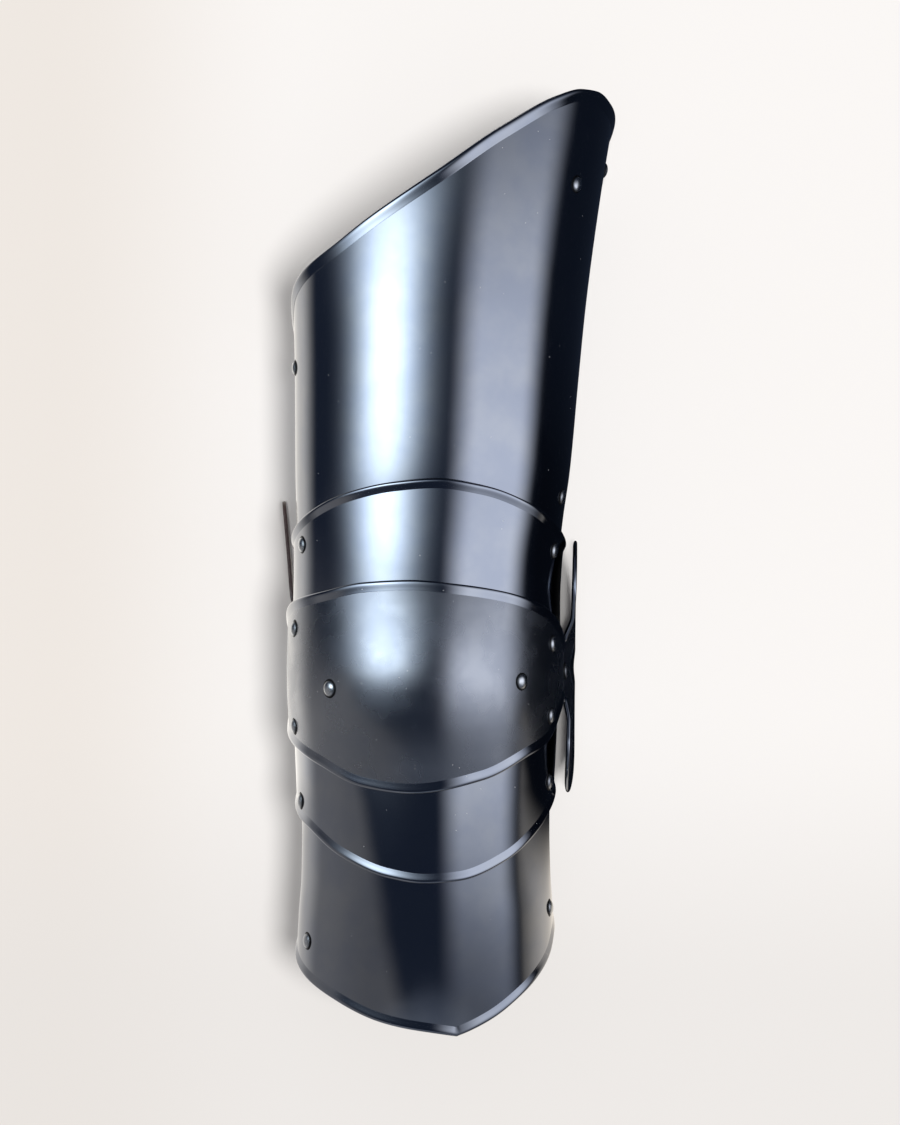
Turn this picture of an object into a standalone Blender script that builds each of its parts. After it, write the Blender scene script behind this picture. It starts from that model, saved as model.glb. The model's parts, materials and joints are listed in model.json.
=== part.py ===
"""Left-leg cuisse: thigh plate, two lames, winged knee cop and greave plate.

Metres, +Z up. The armour lies on its open back. +Z leaves the front of the leg, +Y runs
towards the hip, and +X is the outer side of the leg, where the knee wing is.
The sizes below are millimetres, and MM turns them into metres.
An angle on a plate is counted round the leg in degrees: 0 at the outer side, 90 at the
front, 180 at the inner side. Below 0 and past 180 it has turned towards the back.
Each of the four sliding joints bends from straight, 0 degrees, to 17 degrees.
"""
import math

import bmesh
import bpy
import numpy as np
from mathutils import Matrix, Vector

MM = 0.001

# ---- steel ----
STEEL = 1.2                 # wall of every plate
WIDEST_Z = 48.0             # height of the leg's widest line
REAR_DEPTH = 74.0           # depth of a plate's section behind the widest line
THIGH_ROLL = 7.0            # widths of the rolled rims
LAME_ROLL = 5.6
COP_ROLL = 6.0
ROLL_RISE = 0.2             # height of a roll over its plate, as a share of its width
ROLL_SHAPE = ((0.0, 0.0), (0.08, 0.75), (0.24, 1.0), (0.6, 0.55), (1.0, 0.0))
COLUMN_STEP = 8.6           # degrees between a plate's columns of faces
SHARP_ANGLE = 32.0          # degrees between faces that stay a crisp edge

# ---- leather and buckles ----
LEATHER = 2.2
FOLD_LEATHER = 1.6          # the buckle straps are thinner, because they fold round the bar
STRAP_WIDTH = 24.0
CALF_WIDTH = 18.0
STRAP_GAP = 0.6
STRAP_STEP = 9.0            # degrees between a strap's rows against a plate
UNDER_END = 207.0           # angle where a fastened strap leaves the plate
FLAT_START = -42.0          # x where it comes down flat, and x of its tip
STRAP_TIP = 52.0
BAR = 1.2                   # radius of a buckle's bars
BAR_GAP = 0.25              # between a bar and the leather or tongue round it
FOLD_GAP = 0.2
BUCKLE_REACH = 17.0         # hinge bar to far bar
BUCKLE_SIDE = 3.5           # frame beyond each edge of its strap
BUCKLE_CORNER = 4.0
BUCKLE_X = 20.0             # the hinge bar of a fastened buckle
HINGE_Z = 6.3
FAR_Z = 3.3
LEAD_LEVEL = 24.0           # from the hinge bar to where a buckle strap comes down level
TAIL = 17.0                 # of a buckle strap, folded back under itself
PRONG = 2.4                 # width of a buckle's tongue
SLOT_GAP = 0.4              # between a tongue and each side of its slot

# ---- knee strap ----
KNEE_STRAP_WIDTH = 18.0
KNEE_STRAP_ANGLE = 200.0    # where its rivet is on the cop's inner lobe
KNEE_STRAP_Y = 1.0
KNEE_STRAP_GAP = 1.6        # under the lobe
KNEE_BUCKLE_Y = 2.0
KNEE_BUCKLE_X = 52.0        # its hinge bar
KNEE_RIVET_REACH = 25.0     # its buckle strap's rivet, from the wing's neck
KNEE_RIVET_LIFT = 0.9
KNEE_TAIL = 15.0

# ---- rivets ----
HEAD_RADIUS = 4.5
HEAD_RISE = 2.1
SHANK_RADIUS = 1.6
BURR_RADIUS = 3.6
BURR_THICK = 0.8
RIVET_GAP = 0.3
PIVOT_GAP = 1.0
BURR_GAP = 0.6              # under a flat burr on a curved inside
HEAD_SHAPE = ((0.42, 0.95), (0.82, 0.62), (1.0, 0.0))   # radius and rise of the dome, as shares
HOLE_RADIUS = 2.0
PIVOT_HOLE_RADIUS = 2.4
RIVET_SIDES = 8
DRILL_REACH = 9.0           # of a drill, to each side of the plate's face

# ---- place ----
BOX_MIDDLE = (11.62, 67.25)   # x and y of the whole box's middle, which the origin lies under

# ---- knee wing: a fan spread from a neck on the cop's outer side ----
FAN_Y = 4.0
FAN_Z = 54.0
FAN_ROOT = 16.0
FAN_SPREAD = 112.0
NECK_ANGLE = 7.0
NECK_LIFT = 0.2             # of the fan's root off the cop's section
BEND_REACH = 16.0           # the bend from the root out to the fan's plane
CREASE_REACH = 22.0         # more of that bend along the middle crease
CREASE_TURN = 22.0
FAN_X = 83.3                # the fan's plane, and its slant along the leg
FAN_SLANT = 0.039
FLARE = 3.8                 # how far the fan's back leans out, and less of that up the leg
FLARE_SLANT = 0.03
FLARE_START = 66.0          # height where the flare starts, and the drop that it takes
FLARE_DROP = 60.0
FAN_SHARES = (0.0, 0.12, 0.3, 0.55, 0.8)   # columns between the neck and the fan's rolled rim
COP_ROWS = 8


def table(names, *rows):
    """A short table as a dictionary of named columns."""
    return {name: np.array(column, float) for name, column in zip(names.split(), zip(*rows))}


# Outline of each plate's outer face: half-breadths to the inner and outer side, and depth to
# the front, at heights y along the leg.
THIGH_SECTIONS = table(
    "y      inner  outer  front",
    (60.0, 74.3, 75.9, 74.5),
    (92.0, 75.1, 79.6, 77.4),
    (119.0, 75.7, 83.5, 80.0),
    (172.0, 76.0, 88.5, 83.5),
    (215.0, 76.8, 92.8, 86.5),
    (276.0, 77.5, 101.0, 89.0),
    (345.0, 78.5, 112.5, 90.0))
UPPER_LAME_SECTIONS = table(
    "y      inner  outer  front",
    (12.0, 77.4, 78.0, 82.0),
    (40.0, 77.0, 77.8, 83.4),
    (65.0, 76.7, 78.9, 83.2),
    (90.0, 77.3, 82.4, 82.6),
    (116.0, 78.0, 86.2, 82.0))
COP_SECTIONS = table(
    "y       inner  outer  front",
    (-64.0, 76.8, 76.0, 84.6),
    (-42.0, 78.2, 77.4, 90.5),
    (-22.0, 80.0, 79.2, 96.0),
    (-2.0, 80.8, 80.0, 98.5),
    (20.0, 80.4, 80.2, 96.0),
    (40.0, 79.6, 79.9, 91.0),
    (58.0, 79.3, 79.9, 85.8))
LOWER_LAME_SECTIONS = table(
    "y        inner  outer  front",
    (-114.0, 74.1, 73.9, 79.3),
    (-90.0, 74.3, 73.8, 80.8),
    (-62.0, 75.2, 74.4, 82.0),
    (-42.0, 76.0, 75.4, 82.4),
    (-16.0, 77.0, 76.6, 81.4))
GREAVE_SECTIONS = table(
    "y        inner  outer  front",
    (-200.0, 75.5, 73.6, 66.6),
    (-170.0, 75.0, 73.6, 70.4),
    (-150.0, 74.4, 73.6, 72.7),
    (-135.0, 73.6, 73.4, 74.2),
    (-115.0, 72.2, 72.2, 76.0),
    (-90.0, 71.8, 71.6, 77.7),
    (-65.0, 72.4, 71.8, 78.8),
    (-45.0, 72.8, 72.2, 79.2))

# Height of each plate's upper and lower edge against the angle round the leg.
THIGH_TOP = table(
    "angle  y",
    (-38.0, 258.0), (-24.0, 292.0), (-10.0, 313.0), (5.0, 323.0), (18.0, 328.0),
    (31.0, 332.0), (40.0, 331.4), (52.0, 325.5), (72.0, 306.6), (94.0, 281.3),
    (117.5, 258.0), (135.0, 243.0), (159.0, 229.5), (172.0, 221.0), (184.0, 207.0),
    (202.0, 180.0), (218.0, 150.0))
THIGH_BOTTOM = table(
    "angle  y",
    (-38.0, 78.0), (-20.0, 66.0), (0.0, 62.0), (25.0, 63.0), (50.0, 76.0), (90.0, 91.0),
    (130.0, 78.0), (155.0, 66.0), (180.0, 64.0), (200.0, 67.0), (218.0, 78.0))
UPPER_LAME_TOP = table(
    "angle  y",
    (2.0, 76.5), (16.0, 82.4), (28.0, 89.0), (49.0, 100.4), (69.0, 108.6),
    (88.5, 112.2), (105.0, 110.5), (125.0, 105.0), (150.0, 93.6), (164.0, 86.4), (188.0, 75.0))
UPPER_LAME_BOTTOM = table(
    "angle  y",
    (2.0, 17.0), (10.0, 12.5), (25.0, 11.0), (50.0, 24.0), (90.0, 35.0),
    (130.0, 26.0), (158.0, 18.0), (174.0, 19.0), (188.0, 26.0))
COP_TOP = table(
    "angle  y",
    (7.0, 20.2), (15.0, 28.0), (24.0, 35.6), (35.0, 42.0), (56.0, 49.6), (77.0, 54.0),
    (96.0, 56.3), (115.0, 55.0), (135.0, 50.0), (164.0, 42.8), (180.0, 35.0), (196.0, 23.0),
    (210.0, 14.0))
COP_BOTTOM = table(
    "angle  y",
    (7.0, -12.0), (15.0, -20.5), (28.0, -36.0), (43.0, -43.4), (65.0, -55.0), (95.0, -62.0),
    (116.0, -59.0), (139.0, -48.0), (163.0, -38.0), (180.0, -31.0), (196.0, -19.0),
    (210.0, -11.0))
LOWER_LAME_TOP = table(
    "angle  y",
    (-8.0, -25.0), (6.0, -15.0), (22.0, -10.0), (50.0, -28.0), (90.0, -41.0),
    (130.0, -29.0), (160.0, -18.0), (174.0, -20.0), (188.0, -28.0))
LOWER_LAME_BOTTOM = table(
    "angle  y",
    (-8.0, -64.0), (4.0, -68.5), (17.0, -75.5), (29.5, -85.0), (52.0, -100.8), (75.0, -110.8),
    (90.0, -112.0), (106.0, -109.2), (129.0, -98.9), (152.0, -84.9), (170.0, -78.0), (188.0, -70.0))
GREAVE_TOP = table(
    "angle  y",
    (-15.0, -66.0), (0.0, -54.0), (20.0, -50.0), (50.0, -74.0), (90.0, -90.0),
    (130.0, -76.0), (160.0, -61.0), (178.0, -63.0), (195.0, -74.0))
GREAVE_BOTTOM = table(
    "angle  y",
    (-15.0, -135.0), (0.0, -145.0), (7.0, -149.0), (16.0, -158.3), (30.5, -169.8),
    (44.6, -180.0), (58.0, -189.2), (69.5, -195.7), (75.8, -198.8), (85.2, -196.5),
    (99.4, -194.0), (111.0, -190.5), (136.0, -178.9), (158.0, -169.4), (178.0, -160.0),
    (195.0, -150.0))

# Reach of the knee wing from its neck. Direction 0 points to the back and 90 to the hip.
WING_REACH = table(
    "direction  reach",
    (-112.0, 42.0), (-99.0, 61.0), (-80.0, 73.0), (-55.0, 68.5), (-25.0, 53.5), (0.0, 47.0),
    (25.0, 53.0), (55.0, 68.0), (80.0, 75.5), (99.0, 64.5), (112.0, 45.0))

# Where each rivet stands on its outermost plate.
INNER_PIVOTS = table(
    "angle   y",
    (156.2, 75.8), (158.7, 28.0), (160.0, -27.4), (162.4, -70.6))
OUTER_PIVOTS = table(
    "angle  y",
    (23.4, 72.4), (25.7, 19.6), (25.7, -21.0), (18.7, -59.6))


# ---------------------------------------------------------------- curves

def smooth(x, xs, ys):
    """A monotone cubic through a table's points, held flat beyond its ends."""
    x = min(max(x, xs[0]), xs[-1])
    step = np.diff(xs)
    slope = np.diff(ys) / step
    tangent = np.empty_like(ys)
    tangent[0], tangent[-1] = slope[0], slope[-1]
    for i in range(1, len(xs) - 1):
        before, after = slope[i - 1], slope[i]
        tangent[i] = 0.0 if before * after <= 0 else 2.0 * before * after / (before + after)
    i = min(int(np.searchsorted(xs, x, side="right")) - 1, len(step) - 1)
    t = (x - xs[i]) / step[i]
    start = (1 + 2 * t) * (1 - t) ** 2 * ys[i] + t * (1 - t) ** 2 * step[i] * tangent[i]
    end = t * t * (3 - 2 * t) * ys[i + 1] + t * t * (t - 1) * step[i] * tangent[i + 1]
    return start + end


def edge_height(edge, angle):
    """Height y of a plate's edge at an angle round the leg."""
    return smooth(angle, edge["angle"], edge["y"])


def shell_point(sections, y, angle, lift=0.0):
    """A point of a plate's outer face, lifted along the section's normal."""
    inner = smooth(y, sections["y"], sections["inner"])
    outer = smooth(y, sections["y"], sections["outer"])
    front = smooth(y, sections["y"], sections["front"])
    half = (inner + outer) / 2
    middle = (outer - inner) / 2
    turn = math.radians(angle)
    depth = front if math.sin(turn) > 0 else REAR_DEPTH
    normal = Vector((math.cos(turn) / half, 0.0, math.sin(turn) / depth)).normalized()
    point = Vector((middle + half * math.cos(turn), y, WIDEST_Z + depth * math.sin(turn)))
    return point + normal * lift


def shell_rise(sections, y, angle, reach=5.0):
    """The direction of the plate's face towards the hip, at an angle round the leg."""
    return (shell_point(sections, y + reach, angle) - shell_point(sections, y - reach, angle)).normalized()


def shell_normal(sections, y, angle):
    """The outward normal of the plate's face."""
    around = shell_point(sections, y, angle + 1.0) - shell_point(sections, y, angle - 1.0)
    return shell_rise(sections, y, angle, 1.0).cross(around).normalized()


def smoothstep(value):
    value = min(max(value, 0.0), 1.0)
    return value * value * (3 - 2 * value)


def wing_point(reach, direction):
    """A point of the knee wing's outer face, in its fan round the neck."""
    turn = math.radians(direction)
    y = FAN_Y + reach * math.sin(turn)
    z = FAN_Z - reach * math.cos(turn)
    root = shell_point(COP_SECTIONS, FAN_Y, 0.0).x + NECK_LIFT
    crease = CREASE_REACH * math.exp(-(direction / CREASE_TURN) ** 2)
    spread = smoothstep((reach - FAN_ROOT) / (BEND_REACH + crease))
    back = smoothstep((FLARE_START - z) / FLARE_DROP)
    plane = FAN_X + FAN_SLANT * y + (FLARE - FLARE_SLANT * y) * back
    return Vector((root + (plane - root) * spread, y, z))


# ---------------------------------------------------------------- meshes

def new_material(name, color, metallic, roughness):
    material = bpy.data.materials.new(name)
    material.use_nodes = True
    shader = material.node_tree.nodes["Principled BSDF"]
    shader.inputs["Base Color"].default_value = (*color, 1.0)
    shader.inputs["Metallic"].default_value = metallic
    shader.inputs["Roughness"].default_value = roughness
    material.diffuse_color = (*color, 1.0)
    return material


def new_object(name, bm, material, pivot):
    """A smooth-shaded object from world-space geometry, hung on its body's empty."""
    bmesh.ops.recalc_face_normals(bm, faces=bm.faces)
    bmesh.ops.translate(bm, verts=bm.verts, vec=-pivot.location)
    mesh = bpy.data.meshes.new(name)
    bm.to_mesh(mesh)
    bm.free()
    mesh.shade_smooth()
    mesh.set_sharp_from_angle(angle=math.radians(SHARP_ANGLE))
    mesh.materials.append(material)
    piece = bpy.data.objects.new(name, mesh)
    bpy.context.scene.collection.objects.link(piece)
    piece.parent = pivot
    return piece


def add_row(bm, points):
    return [bm.verts.new(Vector(point) * MM) for point in points]


def join_rows(bm, row, following):
    for i in range(len(row) - 1):
        bm.faces.new((row[i], row[i + 1], following[i + 1], following[i]))


def stitch(bm, first, second):
    """Triangles between two lines of vertices that start and end together."""
    i = j = 0
    while i < len(first) - 1 or j < len(second) - 1:
        ahead_first = (i + 1) / (len(first) - 1)
        ahead_second = (j + 1) / (len(second) - 1)
        if j == len(second) - 1 or (i < len(first) - 1 and ahead_first <= ahead_second):
            bm.faces.new((first[i], first[i + 1], second[j]))
            i += 1
        else:
            bm.faces.new((first[i], second[j + 1], second[j]))
            j += 1


def roll_height(distance, width):
    """Rise of a rolled rim of this width over the plate, at a distance from the edge."""
    if width == 0.0:
        return 0.0
    place = distance / width
    for (start, low), (end, high) in zip(ROLL_SHAPE, ROLL_SHAPE[1:]):
        if place <= end:
            return ROLL_RISE * width * (low + (high - low) * (place - start) / (end - start))
    return 0.0


def row_fractions(rows, length, roll_low, roll_high):
    """Places along a column: the rolls' own rows at its ends, and even ones between."""
    low = [place * roll_low / length for place, _ in ROLL_SHAPE] if roll_low else [0.0]
    high = [1 - place * roll_high / length for place, _ in reversed(ROLL_SHAPE)] if roll_high else [1.0]
    span = high[0] - low[-1]
    return low + [low[-1] + span * i / (rows + 1) for i in range(1, rows + 1)] + high


def grid_normals(grid):
    """Unit normals of a grid of points, from the differences along rows and columns."""
    along = np.gradient(grid, axis=0)
    across = np.gradient(grid, axis=1)
    normal = np.cross(across, along)
    return normal / np.linalg.norm(normal, axis=2, keepdims=True)


def plate_solid(grid, rolls, kept_rows):
    """A closed plate from its outer face's grid[column][row] and the rolls' rise there."""
    normal = grid_normals(grid)
    outside = grid + normal * rolls[..., None]
    inside = (grid - normal * STEEL)[:, kept_rows]
    bm = bmesh.new()
    outer = [add_row(bm, column) for column in outside]
    inner = [add_row(bm, column) for column in inside]
    for rows in (outer, inner):
        for column, following in zip(rows, rows[1:]):
            join_rows(bm, column, following)
    for end in (0, -1):
        join_rows(bm, [column[end] for column in outer], [column[end] for column in inner])
        stitch(bm, outer[end], inner[end])
    bmesh.ops.triangulate(bm, faces=bm.faces)
    return bm


def shell_column(sections, low, high, angle, rows, roll_low, roll_high):
    """One column of a plate's grid and of its rolls' rise."""
    bottom, top = edge_height(low, angle), edge_height(high, angle)
    step = 0.5
    arc = (shell_point(sections, top, angle + step) - shell_point(sections, top, angle - step)).length
    rise_high = edge_height(high, angle + step) - edge_height(high, angle - step)
    rise_low = edge_height(low, angle + step) - edge_height(low, angle - step)
    slant = max(abs(rise_high) if roll_high else 0.0, abs(rise_low) if roll_low else 0.0)
    lean = arc / math.hypot(arc, slant)
    length = (top - bottom) * lean
    places = row_fractions(rows, length, roll_low, roll_high)
    points = [shell_point(sections, bottom + (top - bottom) * place, angle) for place in places]
    rolls = [max(roll_height(place * length, roll_low), roll_height((1 - place) * length, roll_high))
             for place in places]
    return points, rolls


def inner_rows(rows, roll_low, roll_high):
    """Rows that the inside keeps: the rolls are only on the outside."""
    extra = len(ROLL_SHAPE) - 1
    start = extra if roll_low else 0
    kept = list(range(start, start + rows + 2))
    if roll_low:
        kept.insert(0, 0)
    if roll_high:
        kept.append(kept[-1] + extra)
    return kept


def angles_between(first, last):
    count = max(2, round(abs(last - first) / COLUMN_STEP)) + 1
    return np.linspace(first, last, count)


def shell_plate(sections, low, high, rows, roll_low=0.0, roll_high=0.0):
    """The solid of a plate that is one wrapped shell between two edges."""
    first = max(low["angle"][0], high["angle"][0])
    last = min(low["angle"][-1], high["angle"][-1])
    columns = [shell_column(sections, low, high, angle, rows, roll_low, roll_high)
               for angle in angles_between(first, last)]
    grid = np.array([points for points, _ in columns])
    rolls = np.array([rise for _, rise in columns])
    return plate_solid(grid, rolls, inner_rows(rows, roll_low, roll_high))


def wing_column(reach_share, from_rim, rows):
    """One column of the wing: an arc round the neck from its lower to its upper front edge."""
    spread = math.radians(2 * FAN_SPREAD)
    middle_reach = FAN_ROOT + (smooth(0.0, *WING_REACH.values()) - FAN_ROOT) * reach_share
    length = middle_reach * spread
    places = row_fractions(rows, length, COP_ROLL, COP_ROLL)
    points, rolls = [], []
    for place in places:
        direction = FAN_SPREAD * (2 * place - 1)
        limit = smooth(direction, *WING_REACH.values())
        reach = limit - from_rim
        reach = FAN_ROOT + (reach - FAN_ROOT) * reach_share
        points.append(wing_point(reach, direction))
        to_front = min(place, 1 - place) * length
        rolls.append(max(roll_height(to_front, COP_ROLL), roll_height(from_rim, COP_ROLL)))
    return points, rolls


def cop_solid():
    """The knee cop and its wing: one plate from the inner lobe to the wing's back rim."""
    columns = [shell_column(COP_SECTIONS, COP_BOTTOM, COP_TOP, angle, COP_ROWS, COP_ROLL, COP_ROLL)
               for angle in angles_between(COP_TOP["angle"][-1], NECK_ANGLE)]
    columns += [wing_column(share, COP_ROLL, COP_ROWS) for share in FAN_SHARES]
    columns += [wing_column(1.0, COP_ROLL * place, COP_ROWS) for place, _ in reversed(ROLL_SHAPE)]
    grid = np.array([points for points, _ in columns])[::-1]
    rolls = np.array([rise for _, rise in columns])[::-1]
    return plate_solid(grid, rolls, inner_rows(COP_ROWS, COP_ROLL, COP_ROLL))


# ---------------------------------------------------------------- rivets

def rivet_mesh(depth, gap):
    """A rivet along Z: domed head over the plates, shank, and a burr under them."""
    under = -(depth + gap)
    dome = [(radius * HEAD_RADIUS, RIVET_GAP + rise * HEAD_RISE) for radius, rise in HEAD_SHAPE]
    stem = ((SHANK_RADIUS, RIVET_GAP), (SHANK_RADIUS, under), (BURR_RADIUS, under),
            (BURR_RADIUS, under - BURR_THICK))
    bm = bmesh.new()
    turns = [2 * math.pi * i / RIVET_SIDES for i in range(RIVET_SIDES)]
    rings = [add_row(bm, [(radius * math.cos(turn), radius * math.sin(turn), height) for turn in turns])
             for radius, height in (*dome, *stem)]
    for ring, following in zip(rings, rings[1:]):
        join_rows(bm, ring + ring[:1], following + following[:1])
    bm.faces.new(rings[0])
    bm.faces.new(rings[-1])
    return bm


def drill(holes, piece, spot, radius):
    holes.setdefault(piece, []).append((*spot, radius))


def add_rivet(name, spot, depth, gap, material, pivot):
    """A rivet whose head stands on the outermost plate at the spot's point and normal."""
    point, normal = spot
    bm = rivet_mesh(depth, gap)
    bmesh.ops.recalc_face_normals(bm, faces=bm.faces)
    mesh = bpy.data.meshes.new(name)
    bm.to_mesh(mesh)
    bm.free()
    mesh.shade_smooth()
    mesh.set_sharp_from_angle(angle=math.radians(SHARP_ANGLE))
    mesh.materials.append(material)
    rivet = bpy.data.objects.new(name, mesh)
    bpy.context.scene.collection.objects.link(rivet)
    rivet.parent = pivot
    rivet.location = point * MM - pivot.location
    rivet.rotation_euler = normal.to_track_quat("Z", "Y").to_euler()
    return rivet


def spot_on(sections, angle, y):
    return shell_point(sections, y, angle), shell_normal(sections, y, angle)


def plates_depth(outer, inner, angle, y):
    """Depth from the outer plate's face to the back of the plate under it."""
    point, normal = spot_on(outer, angle, y)
    return (point - shell_point(inner, y, angle)).dot(normal) + STEEL


def cutter_object(name, bm, pivot):
    """A hidden cutting body that a Boolean modifier takes away."""
    bmesh.ops.recalc_face_normals(bm, faces=bm.faces)
    bmesh.ops.translate(bm, verts=bm.verts, vec=-pivot.location)
    mesh = bpy.data.meshes.new(name)
    bm.to_mesh(mesh)
    bm.free()
    cutter = bpy.data.objects.new(name, mesh)
    bpy.context.scene.collection.objects.link(cutter)
    cutter.parent = pivot
    cutter.hide_render = True
    cutter.display_type = "WIRE"
    return cutter


def cut(piece, cutter):
    modifier = piece.modifiers.new(cutter.name, "BOOLEAN")
    modifier.operation = "DIFFERENCE"
    modifier.object = cutter


def drill_piece(piece, spots):
    """Round holes through a piece at each spot, along its normal."""
    bm = bmesh.new()
    for point, normal, radius in spots:
        turn = normal.to_track_quat("Z", "Y").to_matrix().to_4x4()
        bmesh.ops.create_cone(
            bm, cap_ends=True, segments=RIVET_SIDES, radius1=radius * MM, radius2=radius * MM,
            depth=2 * DRILL_REACH * MM, matrix=Matrix.Translation(point * MM) @ turn)
    cut(piece, cutter_object(piece.name + "_drill", bm, piece.parent))


# ---------------------------------------------------------------- straps

def bezier(start, start_handle, end_handle, end, steps):
    points = []
    for i in range(1, steps + 1):
        t = i / steps
        points.append(start * (1 - t) ** 3 + start_handle * 3 * t * (1 - t) ** 2
                      + end_handle * 3 * t * t * (1 - t) + end * t ** 3)
    return points


def ramp(x_start, z_start, x_end, z_end, steps=4):
    """A soft step of a strap from one height to another."""
    points = []
    for i in range(1, steps + 1):
        t = i / steps
        points.append(Vector((x_start + (x_end - x_start) * t, 0.0,
                              z_start + (z_end - z_start) * smoothstep(t))))
    return points


def ribbon(path, sides, thickness, width):
    """A flat leather strap: points of its centre line, and the direction across it at each."""
    bm = bmesh.new()
    rows = []
    for i, (point, side) in enumerate(zip(path, sides)):
        along = (path[min(i + 1, len(path) - 1)] - path[max(i - 1, 0)]).normalized()
        normal = along.cross(side).normalized()
        across = side * width / 2
        raised = normal * thickness / 2
        rows.append(add_row(bm, [point - across - raised, point + across - raised,
                                 point + across + raised, point - across + raised]))
    for row, following in zip(rows, rows[1:]):
        join_rows(bm, row + row[:1], following + following[:1])
    bm.faces.new(rows[0])
    bm.faces.new(rows[-1])
    return bm


def under_plate(sections, y, first, last, thickness):
    """Leather lying against the inside of a plate: its centre line and its direction across."""
    lift = -(STEEL + STRAP_GAP + thickness / 2)
    count = max(2, round(abs(last - first) / STRAP_STEP)) + 1
    angles = np.linspace(first, last, count)
    return ([shell_point(sections, y, angle, lift) for angle in angles],
            [shell_rise(sections, y, angle, CALF_WIDTH / 2) for angle in angles])


def level_out(sides, total):
    """Directions across a strap that turn level past the plate it lies against."""
    level = Vector((0.0, 1.0, 0.0))
    turned = [sides[-1].lerp(level, min(i / 4, 1.0)).normalized()
              for i in range(1, total - len(sides) + 1)]
    return sides + turned


def slanted(path, y_inner, y_outer, span=140.0):
    """The same path with its height y shifted evenly from the inner to the outer side."""
    middle, slope = (y_inner + y_outer) / 2, (y_outer - y_inner) / span
    return [Vector((point.x, middle + slope * point.x, point.z)) for point in path]


def strap_path(sections, y, start_angle):
    """From the inner side's rivet, flat over the open back, through the buckle to its tip."""
    rest = LEATHER / 2
    over_bar = FAR_Z + BAR + BAR_GAP + rest
    far_x = BUCKLE_X - BUCKLE_REACH
    climb, top_start, top_end, drop = far_x - 11.0, far_x - 2.5, far_x + 1.5, far_x + 12.0
    path, sides = under_plate(sections, y, start_angle, UNDER_END, LEATHER)
    leave = (path[-1] - path[-2]).normalized()
    flat = Vector((FLAT_START, 0.0, rest))
    corner = Vector((path[-1].x, 0.0, path[-1].z))
    path += bezier(corner, corner + leave * 9.0, flat - Vector((10.0, 0.0, 0.0)), flat, 4)
    path += [Vector((climb, 0.0, rest))]
    path += ramp(climb, rest, top_start, over_bar)
    path += [Vector((top_end, 0.0, over_bar))]
    path += ramp(top_end, over_bar, drop, rest)
    path += [Vector((STRAP_TIP, 0.0, rest))]
    return path, level_out(sides, len(path))


def fold_path(lead, hinge, end_x):
    """A buckle strap: its lead-in, round the buckle's hinge bar and back under itself."""
    radius = BAR + FOLD_GAP + FOLD_LEATHER / 2
    low = hinge.z - radius
    pinched = low + FOLD_LEATHER + RIVET_GAP
    path = lead + ramp(hinge.x + 10.0, pinched, hinge.x + 1.5, hinge.z + radius)
    for i in range(5):
        turn = math.radians(90 + 45 * i)
        path.append(hinge + Vector((radius * math.cos(turn), 0.0, radius * math.sin(turn))))
    return path + [Vector((end_x, 0.0, low))]


def buckle_frame(name, hinge, far, y, width, material, pivot):
    """A rectangular frame with rounded far corners, bent from round bar."""
    half = width / 2 + BUCKLE_SIDE
    near_corner = 0.3 * BUCKLE_CORNER
    side = (far - hinge).normalized()
    outline = [hinge - Vector((0, half, 0)), far - side * BUCKLE_CORNER - Vector((0, half, 0)),
               far - side * near_corner - Vector((0, half - near_corner, 0)),
               far - Vector((0, half - BUCKLE_CORNER, 0))]
    outline += [Vector((point.x, -point.y, point.z)) for point in reversed(outline)]
    curve = bpy.data.curves.new(name, "CURVE")
    curve.dimensions = "3D"
    curve.bevel_depth = BAR * MM
    curve.bevel_resolution = 1
    spline = curve.splines.new("POLY")
    spline.points.add(len(outline) - 1)
    for target, point in zip(spline.points, outline):
        place = (point + Vector((0, y, 0))) * MM - pivot.location
        target.co = (*place, 1.0)
    spline.use_cyclic_u = True
    curve.materials.append(material)
    frame = bpy.data.objects.new(name, curve)
    bpy.context.scene.collection.objects.link(frame)
    frame.parent = pivot
    return frame


def buckle_tongue(name, hinge, tip, y, flip, material, pivot):
    """A prong hooked round the hinge bar; flip is 1 where it passes below the far bar, -1 above."""
    inner, outer = BAR + BAR_GAP, BAR + BAR_GAP + 0.85
    above, below, hook_end, steps = 198.0, 232.0, -95.0, 10

    def ring(radius, degrees):
        turn = math.radians(degrees)
        return hinge + Vector((radius * math.cos(turn), 0.0, flip * radius * math.sin(turn)))

    half = Vector((0.0, 0.0, flip * PRONG / 4))
    outline = [tip + half]
    outline += [ring(outer, turn) for turn in np.linspace(above, hook_end, steps)]
    outline += [ring(inner, turn) for turn in np.linspace(hook_end, below, steps)]
    outline += [ring(outer, below), tip - half]
    bm = bmesh.new()
    low = add_row(bm, [point + Vector((0.0, y - PRONG / 2, 0.0)) for point in outline])
    high = add_row(bm, [point + Vector((0.0, y + PRONG / 2, 0.0)) for point in outline])
    join_rows(bm, low + low[:1], high + high[:1])
    bm.faces.new(low)
    bm.faces.new(high)
    bm.normal_update()
    bmesh.ops.triangulate(bm, faces=bm.faces)
    return new_object(name, bm, material, pivot)


def slot_piece(piece, start, end, y):
    """A slot through a strap for the buckle's tongue, between two x and z on its middle line."""
    bm = bmesh.new()
    half = PRONG / 2 + SLOT_GAP
    low, high = Vector((start[0], y - half, start[1])), Vector((end[0], y + half, end[1]))
    size, middle = high - low, (low + high) / 2
    bmesh.ops.create_cube(bm, size=1.0, matrix=(
        Matrix.Translation(middle * MM) @ Matrix.Diagonal((*(size * MM), 1.0))))
    cut(piece, cutter_object(piece.name + "_slot", bm, piece.parent))


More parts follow.
